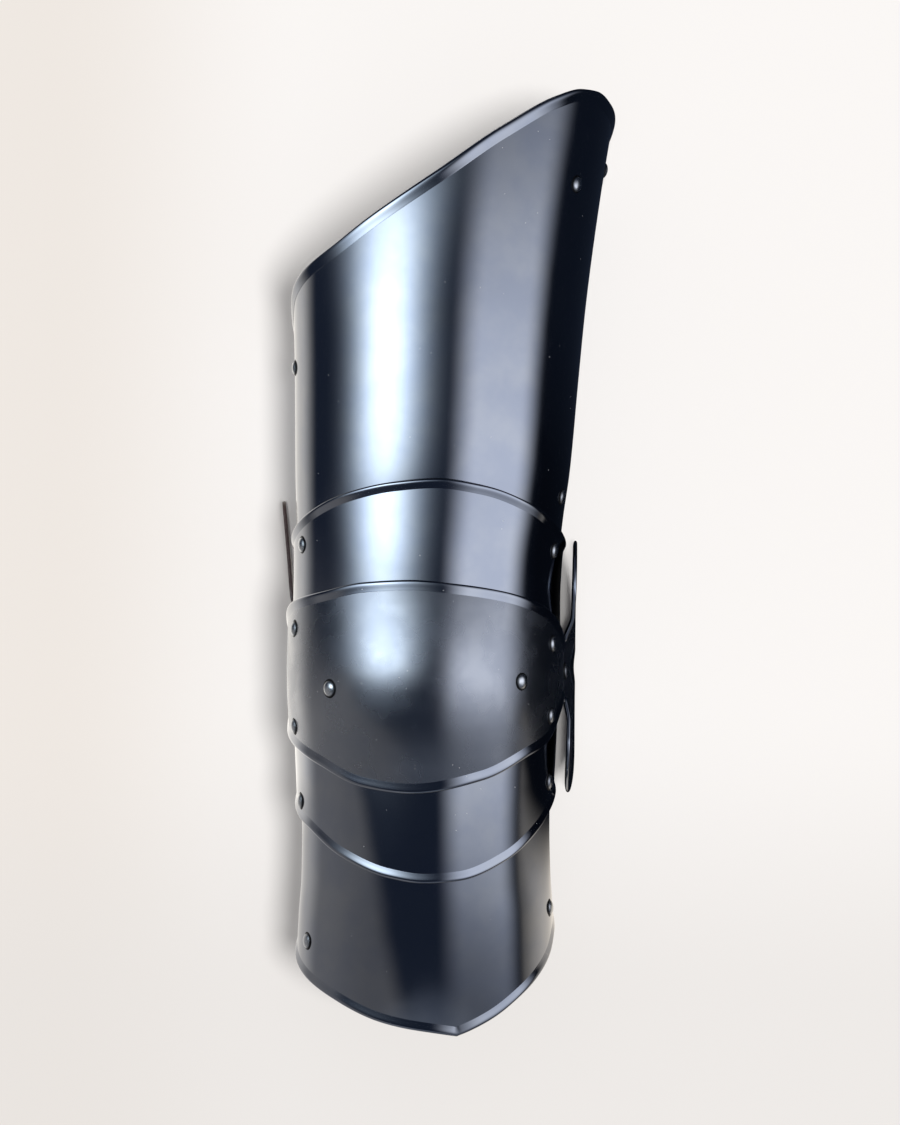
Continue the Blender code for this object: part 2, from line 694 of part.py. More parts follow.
def fastened_strap(name, sections, inner, outer, width, last_angle, looks, pivot, holes):
    """Strap, buckle strap, buckle and tongue across the open back, and their two rivets.

    inner and outer are the (angle, y) of the rivets on each side of the plate, whose spots
    are returned for drilling."""
    y_inner, y_outer = inner[1], outer[1]
    hinge = Vector((BUCKLE_X, 0.0, HINGE_Z))
    far = Vector((BUCKLE_X - BUCKLE_REACH, 0.0, FAR_Z))
    tip = Vector((far.x - 2.0, 0.0, 0.9))
    y_buckle = slanted([(hinge + far) / 2], y_inner, y_outer)[0].y
    path, sides = strap_path(sections, y_inner, inner[0] - 7.0)
    strap = new_object(name, ribbon(slanted(path, y_inner, y_outer), sides, LEATHER, width),
                       looks["leather"], pivot)
    lead, sides = under_plate(sections, y_outer, outer[0] + 7.0, last_angle, FOLD_LEATHER)
    leave = (lead[-1] - lead[-2]).normalized()
    corner = Vector((lead[-1].x, 0.0, lead[-1].z))
    level = Vector((hinge.x + LEAD_LEVEL, 0.0, hinge.z - RIVET_GAP))
    lead += bezier(corner, corner + leave * 14.0, level + Vector((12.0, 0.0, 0.0)), level, 4)
    fold = slanted(fold_path(lead, hinge, hinge.x + TAIL), y_inner, y_outer)
    buckle_strap = new_object(name.replace("strap", "buckle_strap"),
                              ribbon(fold, level_out(sides, len(fold)), FOLD_LEATHER, width),
                              looks["leather"], pivot)
    slot_piece(strap, (far.x + 4.0, -1.0), (far.x + 11.0, 9.0), y_buckle)
    slot_piece(buckle_strap, (hinge.x - 5.0, 0.0), (hinge.x + 4.0, 12.0), y_buckle)
    buckle_frame(name.replace("strap", "buckle"), hinge, far, y_buckle, width,
                 looks["buckle"], pivot)
    buckle_tongue(name.replace("strap", "tongue"), hinge, tip, y_buckle, 1.0,
                  looks["buckle"], pivot)
    spots = [spot_on(sections, *inner), spot_on(sections, *outer)]
    for side, spot, piece, leather in (("inner", spots[0], strap, LEATHER),
                                       ("outer", spots[1], buckle_strap, FOLD_LEATHER)):
        add_rivet(f"{name}_rivet_{side}", spot, STEEL + STRAP_GAP + leather, BURR_GAP,
                  looks["rivet"], pivot)
        drill(holes, piece, spot, HOLE_RADIUS)
    return spots


def knee_strap(looks, pivot, holes):
    """The unfastened knee strap, swung up on its one rivet along the inner side."""
    lift = -(STEEL + KNEE_STRAP_GAP + LEATHER / 2)
    start = shell_point(COP_SECTIONS, KNEE_STRAP_Y, KNEE_STRAP_ANGLE, lift)
    route = table("y x z lean",
                  (-8.0, start.x, start.z, 20.0), (12.0, start.x, start.z, 20.0),
                  (27.0, start.x, start.z - 3.0, 19.0), (35.0, -75.0, 17.5, 13.0),
                  (46.0, -78.8, 14.5, 8.0), (72.0, -81.8, 11.4, 4.0), (102.0, -84.6, 10.6, 2.0))
    path, sides = [], []
    for y in np.linspace(route["y"][0], route["y"][-1], 13):
        x, z, lean = [smooth(y, route["y"], route[name]) for name in ("x", "z", "lean")]
        path.append(Vector((x, y, z)))
        sides.append(Vector((math.sin(math.radians(lean)), 0.0, -math.cos(math.radians(lean)))))
    strap = new_object("knee_strap", ribbon(path, sides, LEATHER, KNEE_STRAP_WIDTH),
                       looks["leather"], pivot)
    spot = spot_on(COP_SECTIONS, KNEE_STRAP_ANGLE, KNEE_STRAP_Y)
    add_rivet("knee_strap_rivet", spot, STEEL + KNEE_STRAP_GAP + LEATHER, RIVET_GAP,
              looks["rivet"], pivot)
    drill(holes, strap, spot, HOLE_RADIUS)
    return spot


def knee_buckle(looks, pivot, holes):
    """The knee strap's buckle strap, hanging from the wing's root to the surface below."""
    y = KNEE_BUCKLE_Y
    x = wing_point(FAN_ROOT, 0.0).x - STEEL - 2 * STRAP_GAP - FOLD_LEATHER / 2
    hinge = Vector((KNEE_BUCKLE_X, 0.0, BAR + FOLD_GAP + FOLD_LEATHER + RIVET_GAP))
    far = Vector((hinge.x - BUCKLE_REACH, 0.0, BAR + RIVET_GAP))
    tip = Vector((far.x - 1.5, 0.0, far.z + BAR + RIVET_GAP + PRONG / 4))
    level = Vector((hinge.x + 16.0, 0.0, hinge.z - RIVET_GAP))
    lead = [Vector((x, 0.0, z)) for z in (36.0, 30.0, 24.0, 18.0)]
    lead += bezier(lead[-1], lead[-1] - Vector((0.0, 0.0, 9.0)), level + Vector((6.0, 0.0, 0.0)),
                   level, 4)
    fold = [point + Vector((0.0, y, 0.0)) for point in fold_path(lead, hinge, hinge.x + KNEE_TAIL)]
    across = [Vector((0.0, 1.0, 0.0))] * len(fold)
    strap = new_object("knee_buckle_strap", ribbon(fold, across, FOLD_LEATHER, KNEE_STRAP_WIDTH),
                       looks["leather"], pivot)
    slot_piece(strap, (hinge.x - 5.0, -1.0), (hinge.x + 4.0, 9.0), y)
    buckle_frame("knee_buckle", hinge, far, y, KNEE_STRAP_WIDTH, looks["buckle"], pivot)
    buckle_tongue("knee_tongue", hinge, tip, y, -1.0, looks["buckle"], pivot)
    reach, turn = KNEE_RIVET_REACH, math.degrees(math.asin((y - FAN_Y) / KNEE_RIVET_REACH))
    skin = wing_point(reach, turn)
    down = wing_point(reach + 2.0, turn) - wing_point(reach - 2.0, turn)
    around = wing_point(reach, turn + 4.0) - wing_point(reach, turn - 4.0)
    normal = around.cross(-down).normalized()
    spot = skin + normal * KNEE_RIVET_LIFT, normal
    add_rivet("knee_buckle_rivet", spot, skin.x - x + FOLD_LEATHER / 2 + KNEE_RIVET_LIFT,
              KNEE_RIVET_LIFT, looks["rivet"], pivot)
    drill(holes, strap, spot, HOLE_RADIUS)
    return spot


# ---------------------------------------------------------------- the armour

def pivot_axis(index, outer_sections):
    """The two rivet places of a sliding joint, as points on the outer plate."""
    inner = shell_point(outer_sections, INNER_PIVOTS["y"][index], INNER_PIVOTS["angle"][index])
    outer = shell_point(outer_sections, OUTER_PIVOTS["y"][index], OUTER_PIVOTS["angle"][index])
    return inner, outer


def add_empty(name, location, parent=None):
    """An empty: the whole leg's place, or a joint's axis that carries the pieces turning there."""
    empty = bpy.data.objects.new(name, None)
    bpy.context.scene.collection.objects.link(empty)
    empty.location = location
    empty.parent = parent
    return empty


def main():
    for item in list(bpy.data.objects):
        bpy.data.objects.remove(item, do_unlink=True)
    looks = {
        "steel": new_material("blackened_steel", (0.045, 0.045, 0.055), 1.0, 0.2),
        "rivet": new_material("rivet_steel", (0.07, 0.07, 0.08), 1.0, 0.3),
        "buckle": new_material("buckle_iron", (0.10, 0.09, 0.085), 1.0, 0.4),
        "leather": new_material("strap_leather", (0.07, 0.035, 0.03), 0.0, 0.6),
    }
    leg = add_empty("leg", Vector((-BOX_MIDDLE[0], -BOX_MIDDLE[1], 0.0)) * MM)
    body = {"thigh": add_empty("thigh_body", Vector(), leg)}
    turning = (("upper_lame", UPPER_LAME_SECTIONS), ("cop", COP_SECTIONS),
               ("lower_lame", COP_SECTIONS), ("greave", LOWER_LAME_SECTIONS))
    for index, (name, carrier_sections) in enumerate(turning):
        inner, outer = pivot_axis(index, carrier_sections)
        body[name] = add_empty(name + "_body", (inner + outer) / 2 * MM, leg)
    steel = looks["steel"]
    plate = {
        "thigh": new_object("thigh_plate", shell_plate(
            THIGH_SECTIONS, THIGH_BOTTOM, THIGH_TOP, 7, roll_high=THIGH_ROLL), steel, body["thigh"]),
        "upper_lame": new_object("upper_lame", shell_plate(
            UPPER_LAME_SECTIONS, UPPER_LAME_BOTTOM, UPPER_LAME_TOP, 3, roll_high=LAME_ROLL),
            steel, body["upper_lame"]),
        "cop": new_object("knee_cop", cop_solid(), steel, body["cop"]),
        "lower_lame": new_object("lower_lame", shell_plate(
            LOWER_LAME_SECTIONS, LOWER_LAME_BOTTOM, LOWER_LAME_TOP, 3, roll_low=LAME_ROLL),
            steel, body["lower_lame"]),
        "greave": new_object("greave_plate", shell_plate(
            GREAVE_SECTIONS, GREAVE_BOTTOM, GREAVE_TOP, 5, roll_low=LAME_ROLL), steel, body["greave"]),
    }
    holes = {}

    # The sliding joints' rivets are fixed in the outer plate and turn in the inner one.
    sliding = (("upper_lame_pivot", "upper_lame", "thigh", UPPER_LAME_SECTIONS, THIGH_SECTIONS),
               ("cop_upper_pivot", "cop", "upper_lame", COP_SECTIONS, UPPER_LAME_SECTIONS),
               ("cop_lower_pivot", "cop", "lower_lame", COP_SECTIONS, LOWER_LAME_SECTIONS),
               ("greave_pivot", "lower_lame", "greave", LOWER_LAME_SECTIONS, GREAVE_SECTIONS))
    for index, (name, outer, inner, outer_sections, inner_sections) in enumerate(sliding):
        for side, pivots in (("inner", INNER_PIVOTS), ("outer", OUTER_PIVOTS)):
            angle, y = pivots["angle"][index], pivots["y"][index]
            point, normal = spot_on(outer_sections, angle, y)
            spot = point, (normal + shell_normal(inner_sections, y, angle)).normalized()
            depth = plates_depth(outer_sections, inner_sections, angle, y)
            add_rivet(f"{name}_{side}", spot, depth, PIVOT_GAP, looks["rivet"], body[outer])
            drill(holes, plate[outer], spot, HOLE_RADIUS)
            drill(holes, plate[inner], spot, PIVOT_HOLE_RADIUS)

    for name, owner, sections, angle, y in (
            ("hip_rivet_side", "thigh", THIGH_SECTIONS, -4.0, 294.0),
            ("hip_rivet_front", "thigh", THIGH_SECTIONS, 34.9, 278.8),
            ("cop_rivet_inner", "cop", COP_SECTIONS, 131.1, -4.3),
            ("cop_rivet_outer", "cop", COP_SECTIONS, 47.5, -0.5)):
        spot = spot_on(sections, angle, y)
        add_rivet(name, spot, STEEL, BURR_GAP, looks["rivet"], body[owner])
        drill(holes, plate[owner], spot, HOLE_RADIUS)

    straps = (("upper_thigh_strap", "thigh", THIGH_SECTIONS, (172.0, 178.0), (-12.0, 178.0),
               STRAP_WIDTH, -25.0),
              ("lower_thigh_strap", "thigh", THIGH_SECTIONS, (193.0, 103.0), (17.0, 103.3),
               STRAP_WIDTH, -25.0),
              ("calf_strap", "greave", GREAVE_SECTIONS, (155.0, -150.0), (14.0, -132.5),
               CALF_WIDTH, -25.0))
    for name, owner, sections, inner, outer, width, last_angle in straps:
        for spot in fastened_strap(name, sections, inner, outer, width, last_angle, looks,
                                   body[owner], holes):
            drill(holes, plate[owner], spot, HOLE_RADIUS)
    for spot in (knee_strap(looks, body["cop"], holes), knee_buckle(looks, body["cop"], holes)):
        drill(holes, plate["cop"], spot, HOLE_RADIUS)

    for piece, spots in holes.items():
        drill_piece(piece, spots)


main()
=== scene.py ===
# %% [markdown]
# # A blackened cuisse with its knee
#
# A cuisse guards the front of the thigh. This one is for a left leg. It carries two narrow
# lames, a domed knee cop with a side wing, and a short plate for the top of the shin, all
# riveted into one chain that bends with the knee. It lies on its open back, hip end away
# from the reader.
#
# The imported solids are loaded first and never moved. Everything that follows is dressed
# onto them: smooth plates, rolled rims, domed rivets, leather and the finish of the steel.

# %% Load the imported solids
import json
import math

import bmesh
import bpy
import numpy as np
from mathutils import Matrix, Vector

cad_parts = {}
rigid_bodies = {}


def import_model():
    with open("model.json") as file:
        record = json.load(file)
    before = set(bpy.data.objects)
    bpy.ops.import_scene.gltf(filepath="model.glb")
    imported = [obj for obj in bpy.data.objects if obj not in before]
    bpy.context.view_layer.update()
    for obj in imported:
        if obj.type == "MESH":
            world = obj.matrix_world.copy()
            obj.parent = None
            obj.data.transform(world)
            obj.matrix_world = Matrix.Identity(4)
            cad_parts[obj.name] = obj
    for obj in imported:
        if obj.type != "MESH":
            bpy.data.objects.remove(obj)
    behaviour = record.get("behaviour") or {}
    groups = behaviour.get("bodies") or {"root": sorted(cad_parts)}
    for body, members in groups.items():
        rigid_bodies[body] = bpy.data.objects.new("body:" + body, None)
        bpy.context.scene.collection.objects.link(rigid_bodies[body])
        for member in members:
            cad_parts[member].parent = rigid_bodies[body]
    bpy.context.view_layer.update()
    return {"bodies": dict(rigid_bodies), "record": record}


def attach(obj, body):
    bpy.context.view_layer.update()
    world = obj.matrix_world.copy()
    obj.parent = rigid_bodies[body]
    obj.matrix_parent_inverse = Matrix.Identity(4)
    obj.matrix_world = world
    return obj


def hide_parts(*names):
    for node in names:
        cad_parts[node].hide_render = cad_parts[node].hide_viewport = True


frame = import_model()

# %% [markdown]
# ## Drawing in millimetres
#
# An armourer measures round the leg and along it, so the plates are drawn the same way. An
# angle is counted round the leg: 0 at the outer side, 90 at the front, 180 at the inner
# side. A height y runs up the leg to the hip. `row_frame` turns such millimetres into the
# frame's metres.

# %% Millimetres and places
MM = 0.001
BOX_MIDDLE = np.array([11.62, 67.25, 0.0])  # the frame's origin lies under this point
STEEL = 1.2         # thickness of the sheet
WIDEST_Z = 48.0     # height of the leg's widest line over the floor
REAR_DEPTH = 74.0   # depth of every section behind that line


def row_frame(points):
    """Millimetres of the drawing as metres of the frame."""
    return (np.asarray(points, float) - BOX_MIDDLE) * MM


def table(names, *rows):
    """A short table as a dictionary of named columns."""
    return {name: np.array(column, float) for name, column in zip(names.split(), zip(*rows))}


def smooth(x, xs, ys):
    """A monotone cubic through a table's points, for a whole array at once."""
    x = np.clip(x, xs[0], xs[-1])
    step = np.diff(xs)
    slope = np.diff(ys) / step
    before, after = slope[:-1], slope[1:]
    total = np.where(before + after == 0, 1.0, before + after)
    tangent = np.concatenate([slope[:1], np.where(before * after > 0, 2 * before * after / total, 0.0),
                              slope[-1:]])
    i = np.clip(np.searchsorted(xs, x, side="right") - 1, 0, len(step) - 1)
    t = (x - xs[i]) / step[i]
    start = (1 + 2 * t) * (1 - t) ** 2 * ys[i] + t * (1 - t) ** 2 * step[i] * tangent[i]
    end = t * t * (3 - 2 * t) * ys[i + 1] + t * t * (t - 1) * step[i] * tangent[i + 1]
    return start + end


def smoothstep(value):
    value = np.clip(value, 0.0, 1.0)
    return value * value * (3 - 2 * value)


print("the origin lies under", BOX_MIDDLE[:2], "mm of the drawing")

# %% [markdown]
# ## The pattern of the plates
#
# Each plate is a piece of tube, so two small tables are enough for it. One gives its
# half-breadths and its depth at a few heights. The other gives its upper and lower edge at
# a few angles. The same numbers made the solids, so the smooth plates land on them.

# %% Tables of the plates
THIGH = table(
    "y      inner  outer  front",
    (60.0, 74.3, 75.9, 74.5),
    (92.0, 75.1, 79.6, 77.4),
    (119.0, 75.7, 83.5, 80.0),
    (172.0, 76.0, 88.5, 83.5),
    (215.0, 76.8, 92.8, 86.5),
    (276.0, 77.5, 101.0, 89.0),
    (345.0, 78.5, 112.5, 90.0))
UPPER_LAME = table(
    "y      inner  outer  front",
    (12.0, 77.4, 78.0, 82.0),
    (40.0, 77.0, 77.8, 83.4),
    (65.0, 76.7, 78.9, 83.2),
    (90.0, 77.3, 82.4, 82.6),
    (116.0, 78.0, 86.2, 82.0))
COP = table(
    "y       inner  outer  front",
    (-64.0, 76.8, 76.0, 84.6),
    (-42.0, 78.2, 77.4, 90.5),
    (-22.0, 80.0, 79.2, 96.0),
    (-2.0, 80.8, 80.0, 98.5),
    (20.0, 80.4, 80.2, 96.0),
    (40.0, 79.6, 79.9, 91.0),
    (58.0, 79.3, 79.9, 85.8))
LOWER_LAME = table(
    "y        inner  outer  front",
    (-114.0, 74.1, 73.9, 79.3),
    (-90.0, 74.3, 73.8, 80.8),
    (-62.0, 75.2, 74.4, 82.0),
    (-42.0, 76.0, 75.4, 82.4),
    (-16.0, 77.0, 76.6, 81.4))
GREAVE = table(
    "y        inner  outer  front",
    (-200.0, 75.5, 73.6, 66.6),
    (-170.0, 75.0, 73.6, 70.4),
    (-150.0, 74.4, 73.6, 72.7),
    (-135.0, 73.6, 73.4, 74.2),
    (-115.0, 72.2, 72.2, 76.0),
    (-90.0, 71.8, 71.6, 77.7),
    (-65.0, 72.4, 71.8, 78.8),
    (-45.0, 72.8, 72.2, 79.2))

THIGH_TOP = table(
    "angle  y",
    (-38.0, 258.0), (-24.0, 292.0), (-10.0, 313.0), (5.0, 323.0), (18.0, 328.0),
    (31.0, 332.0), (40.0, 331.4), (52.0, 325.5), (72.0, 306.6), (94.0, 281.3),
    (117.5, 258.0), (135.0, 243.0), (159.0, 229.5), (172.0, 221.0), (184.0, 207.0),
    (202.0, 180.0), (218.0, 150.0))
THIGH_BOTTOM = table(
    "angle  y",
    (-38.0, 78.0), (-20.0, 66.0), (0.0, 62.0), (25.0, 63.0), (50.0, 76.0), (90.0, 91.0),
    (130.0, 78.0), (155.0, 66.0), (180.0, 64.0), (200.0, 67.0), (218.0, 78.0))
UPPER_LAME_TOP = table(
    "angle  y",
    (2.0, 76.5), (16.0, 82.4), (28.0, 89.0), (49.0, 100.4), (69.0, 108.6),
    (88.5, 112.2), (105.0, 110.5), (125.0, 105.0), (150.0, 93.6), (164.0, 86.4), (188.0, 75.0))
UPPER_LAME_BOTTOM = table(
    "angle  y",
    (2.0, 17.0), (10.0, 12.5), (25.0, 11.0), (50.0, 24.0), (90.0, 35.0),
    (130.0, 26.0), (158.0, 18.0), (174.0, 19.0), (188.0, 26.0))
COP_TOP = table(
    "angle  y",
    (7.0, 20.2), (15.0, 28.0), (24.0, 35.6), (35.0, 42.0), (56.0, 49.6), (77.0, 54.0),
    (96.0, 56.3), (115.0, 55.0), (135.0, 50.0), (164.0, 42.8), (180.0, 35.0), (196.0, 23.0),
    (210.0, 14.0))
COP_BOTTOM = table(
    "angle  y",
    (7.0, -12.0), (15.0, -20.5), (28.0, -36.0), (43.0, -43.4), (65.0, -55.0), (95.0, -62.0),
    (116.0, -59.0), (139.0, -48.0), (163.0, -38.0), (180.0, -31.0), (196.0, -19.0),
    (210.0, -11.0))
LOWER_LAME_TOP = table(
    "angle  y",
    (-8.0, -25.0), (6.0, -15.0), (22.0, -10.0), (50.0, -28.0), (90.0, -41.0),
    (130.0, -29.0), (160.0, -18.0), (174.0, -20.0), (188.0, -28.0))
LOWER_LAME_BOTTOM = table(
    "angle  y",
    (-8.0, -64.0), (4.0, -68.5), (17.0, -75.5), (29.5, -85.0), (52.0, -100.8), (75.0, -110.8),
    (90.0, -112.0), (106.0, -109.2), (129.0, -98.9), (152.0, -84.9), (170.0, -78.0), (188.0, -70.0))
GREAVE_TOP = table(
    "angle  y",
    (-15.0, -66.0), (0.0, -54.0), (20.0, -50.0), (50.0, -74.0), (90.0, -90.0),
    (130.0, -76.0), (160.0, -61.0), (178.0, -63.0), (195.0, -74.0))
GREAVE_BOTTOM = table(
    "angle  y",
    (-15.0, -135.0), (0.0, -145.0), (7.0, -149.0), (16.0, -158.3), (30.5, -169.8),
    (44.6, -180.0), (58.0, -189.6), (69.5, -196.2), (74.6, -198.6), (75.8, -199.1), (77.4, -198.7),
    (85.2, -197.0), (99.4, -194.0), (111.0, -190.5), (136.0, -178.9), (158.0, -169.4),
    (178.0, -160.0), (195.0, -150.0))
GREAVE_POINT = 75.8   # angle of the greave's point


def planished(sections, reach, rows=62):
    """The same plate with its bends evened out over a few millimetres, but for its ends."""
    first, last = sections["y"][0], sections["y"][-1]
    y = np.linspace(first, last, rows)
    reach = np.minimum(reach, np.minimum(y - first, last - y))
    evened = {"y": y}
    for name in ("inner", "outer", "front"):
        evened[name] = sum(share / 9.0 * smooth(y + step * reach, sections["y"], sections[name])
                           for step, share in ((-1.0, 1), (-0.5, 2), (0.0, 3), (0.5, 2), (1.0, 1)))
    return evened


COP = planished(COP, 18.0)   # mm over which the hammer evens out a bend


def shell_points(sections, y, angle, lift=0.0):
    """Points of a plate's outer face, lifted off it along the section's normal."""
    y, angle = np.broadcast_arrays(np.asarray(y, float), np.asarray(angle, float))
    inner, outer, front = (smooth(y, sections["y"], sections[name]) for name in ("inner", "outer", "front"))
    half, middle = (inner + outer) / 2, (outer - inner) / 2
    turn = np.radians(angle)
    depth = np.where(np.sin(turn) > 0, front, REAR_DEPTH)
    normal = np.stack([np.cos(turn) / half, np.zeros_like(y), np.sin(turn) / depth], axis=-1)
    normal /= np.linalg.norm(normal, axis=-1, keepdims=True)
    points = np.stack([middle + half * np.cos(turn), y, WIDEST_Z + depth * np.sin(turn)], axis=-1)
    return points + normal * lift


def unit(vectors):
    return vectors / np.linalg.norm(vectors, axis=-1, keepdims=True)


def shell_rise(sections, y, angle, reach=5.0):
    """Directions of a plate's face towards the hip."""
    return unit(shell_points(sections, y + reach, angle) - shell_points(sections, y - reach, angle))


def shell_normals(sections, y, angle):
    """Outward normals of a plate's face."""
    around = shell_points(sections, y, angle + 1.0) - shell_points(sections, y, angle - 1.0)
    return unit(np.cross(shell_rise(sections, y, angle, 1.0), around))


print("the thigh plate is", THIGH_TOP["y"].max() - THIGH_BOTTOM["y"].min(), "mm long")

# %% [markdown]
# ## Finishes that several materials share
#
# Wear, clouding, scratches, dust and leather grain each become one shader node group. A
# group only puts out masks and heights. Every material then mixes them in with its own
# strengths, so the same dust lies on the steel and on the rivets.

# %% Small helpers for node trees


def node(tree, kind, inputs=None, **settings):
    """One node with its settings, whose inputs are linked or filled in by name or number."""
    made = tree.nodes.new(kind)
    for name, value in settings.items():
        setattr(made, name, value)
    for key, value in (inputs or {}).items():
        socket = made.inputs[key]
        if isinstance(value, bpy.types.NodeSocket):
            tree.links.new(value, socket)
        else:
            socket.default_value = (*value, 1.0) if socket.type == "RGBA" else value
    return made


def new_tree(name, kind, inputs, outputs):
    """A node group with named sockets, each given as (name, kind of socket, default)."""
    tree = bpy.data.node_groups.new(name, kind)
    for side, sockets in (("INPUT", inputs), ("OUTPUT", outputs)):
        for label, holds, *default in sockets:
            socket = tree.interface.new_socket(name=label, in_out=side, socket_type="NodeSocket" + holds)
            if default:
                socket.default_value = default[0]
    start = tree.nodes.new("NodeGroupInput")
    end = tree.nodes.new("NodeGroupOutput")
    return tree, start.outputs, end.inputs


def mask_group(name, numbers, *outputs):
    """A shader group that reads a place and some numbers, and puts out masks or heights."""
    inputs = [("Vector", "Vector")] + [(label, "Float", value) for label, value in numbers.items()]
    return new_tree(name, "ShaderNodeTree", inputs, [(label, "Float") for label in outputs])


def math_node(tree, operation, *values, clamp=False):
    """A Math node, or a chain of them where more than two values are given."""
    total, others = values[0], values[1:] or (0.5,)
    for done, value in enumerate(others, 1):
        total = node(tree, "ShaderNodeMath", {0: total, 1: value}, operation=operation,
                     use_clamp=clamp and done == len(others)).outputs[0]
    return total


def times(tree, *values):
    return math_node(tree, "MULTIPLY", *values)


def plus(tree, *values, clamp=False):
    return math_node(tree, "ADD", *values, clamp=clamp)


def minus(tree, first, second):
    return math_node(tree, "SUBTRACT", first, second)


def scaled(tree, vector, factor):
    return node(tree, "ShaderNodeVectorMath", {0: vector, "Scale": factor}, operation="SCALE").outputs[0]


def added(tree, first, second):
    return node(tree, "ShaderNodeVectorMath", {0: first, 1: second}, operation="ADD").outputs[0]


def spread(tree, value, low, high, out_low=0.0, out_high=1.0, smooth_ends=True):
    """A value's range from low to high stretched over a new range."""
    return node(tree, "ShaderNodeMapRange",
                {"Value": value, "From Min": low, "From Max": high, "To Min": out_low, "To Max": out_high},
                interpolation_type="SMOOTHSTEP" if smooth_ends else "LINEAR").outputs[0]


def noise(tree, place, scale, output="Fac", **more):
    """A noise pattern; its other inputs are given by their names."""
    return node(tree, "ShaderNodeTexNoise", {"Vector": place, "Scale": scale, **more}).outputs[output]


# %% Clouding: slow, soft patches in a finish
clouding, given, put = mask_group("Clouding", {"Size": 0.03, "Seed": 0.0}, "Mask", "Height")
per_metre = math_node(clouding, "DIVIDE", 1.0, given["Size"])
broad = node(clouding, "ShaderNodeTexNoise",
             {"Vector": given["Vector"], "W": given["Seed"], "Scale": per_metre, "Detail": 3.0,
              "Roughness": 0.55}, noise_dimensions="4D").outputs["Fac"]
clouding.links.new(spread(clouding, broad, 0.32, 0.68), put["Mask"])
clouding.links.new(broad, put["Height"])

# %% Scratches: fine hairlines that lie mostly one way
scratches, given, put = mask_group("Scratches", {"Density": 0.5}, "Mask")


def hairlines(tree, place, turn, stretch, scale):
    """A few thin lines, as the narrow ridge where a stretched noise crosses its middle."""
    laid = node(tree, "ShaderNodeMapping", {"Vector": place, "Rotation": turn, "Scale": stretch}).outputs[0]
    field = noise(tree, laid, scale, Detail=0.0, Distortion=0.1)
    return spread(tree, math_node(tree, "ABSOLUTE", minus(tree, field, 0.5)), 0.004, 0.0)


lengthwise = hairlines(scratches, given["Vector"], (0.2, 0.1, 0.3), (1.0, 0.02, 1.0), 260.0)
slanting = hairlines(scratches, given["Vector"], (0.1, 0.1, -0.4), (1.0, 0.03, 1.0), 190.0)
patches = spread(scratches, noise(scratches, given["Vector"], 45.0), 0.62, 0.72)
both = math_node(scratches, "MAXIMUM", lengthwise, slanting)
scratches.links.new(times(scratches, both, patches, given["Density"]), put["Mask"])

# %% Dust: pale specks in a few of many small cells
dust, given, put = mask_group("Dust", {"Spacing": 0.004, "Speck": 0.05}, "Mask")
per_metre = math_node(dust, "DIVIDE", 1.0, given["Spacing"])
cells = node(dust, "ShaderNodeTexVoronoi", {"Vector": given["Vector"], "Scale": per_metre},
             feature="F1").outputs
drawn = node(dust, "ShaderNodeSeparateColor", {0: cells["Color"]}).outputs[0]
dot = math_node(dust, "LESS_THAN", cells["Distance"], given["Speck"])
dust.links.new(times(dust, dot, spread(dust, drawn, 0.72, 0.74)), put["Mask"])

# %% Edge wear: where hands and cloth have rubbed through
edge_wear, given, put = mask_group("Edge wear", {"Worn": 0.0, "Amount": 0.5}, "Mask")
ragged = noise(edge_wear, given["Vector"], 420.0, Detail=4.0, Roughness=0.7)
slow = noise(edge_wear, given["Vector"], 24.0)
uneven = plus(edge_wear, times(edge_wear, ragged, 0.5), times(edge_wear, slow, 0.5))
level = times(edge_wear, given["Worn"], given["Amount"])
edge_wear.links.new(spread(edge_wear, plus(edge_wear, level, uneven), 0.92, 1.15), put["Mask"])

# %% Leather grain: pebbles between fine creases
leather_grain, given, put = mask_group("Leather grain", {"Pebble": 0.0012}, "Height", "Creases")
warp = noise(leather_grain, given["Vector"], 300.0, "Color", Detail=2.0)
bent = added(leather_grain, given["Vector"], scaled(leather_grain, warp, 0.0007))
per_metre = math_node(leather_grain, "DIVIDE", 1.0, given["Pebble"])
pebbles = node(leather_grain, "ShaderNodeTexVoronoi", {"Vector": bent, "Scale": per_metre},
               feature="DISTANCE_TO_EDGE").outputs["Distance"]
leather_grain.links.new(spread(leather_grain, pebbles, 0.0, 0.22), put["Height"])
leather_grain.links.new(spread(leather_grain, pebbles, 0.10, 0.0), put["Creases"])
print("shared finishes:", sorted(tree.name for tree in bpy.data.node_groups))

# %% [markdown]
# ## Materials
#
# The outside of the armour is mirror-polished steel that was blackened in oil, which gives
# a deep blue-grey that still mirrors like metal. Its back was never polished. Rivets are
# the same steel, buckles are rougher iron, and the straps are dark red-brown leather.

# %% Steel
# The near-black colour and the fourth of the dullings below are painted shade, laid in a ring round the foot
# of each rivet head.
BARE_STEEL, PAINTED_SHADE_BLACK, DUST_GREY = (0.42, 0.42, 0.43), (0.012, 0.012, 0.013), (0.62, 0.62, 0.62)
CLOUD_SIZE, WAVE_SIZE, SPECK_SIZE = 0.028, 0.075, 0.045
SCRATCH_DEPTH = 0.00002
CLOUD_DULLS, DULLS = 1.35, (0.25, 0.12, 0.35, 0.5)   # by clouds, then hairlines, rubbing, soot, dust


def group(tree, source, **inputs):
    """A shared finish placed in a material with its own values."""
    return node(tree, "ShaderNodeGroup", inputs, node_tree=source).outputs


def blend_colors(tree, share, first, second):
    return node(tree, "ShaderNodeMix", {0: share, 6: first, 7: second}, data_type="RGBA").outputs[2]


def point_value(tree, name):
    """A number that the mesh keeps at each of its points."""
    return node(tree, "ShaderNodeAttribute", attribute_name=name).outputs["Fac"]


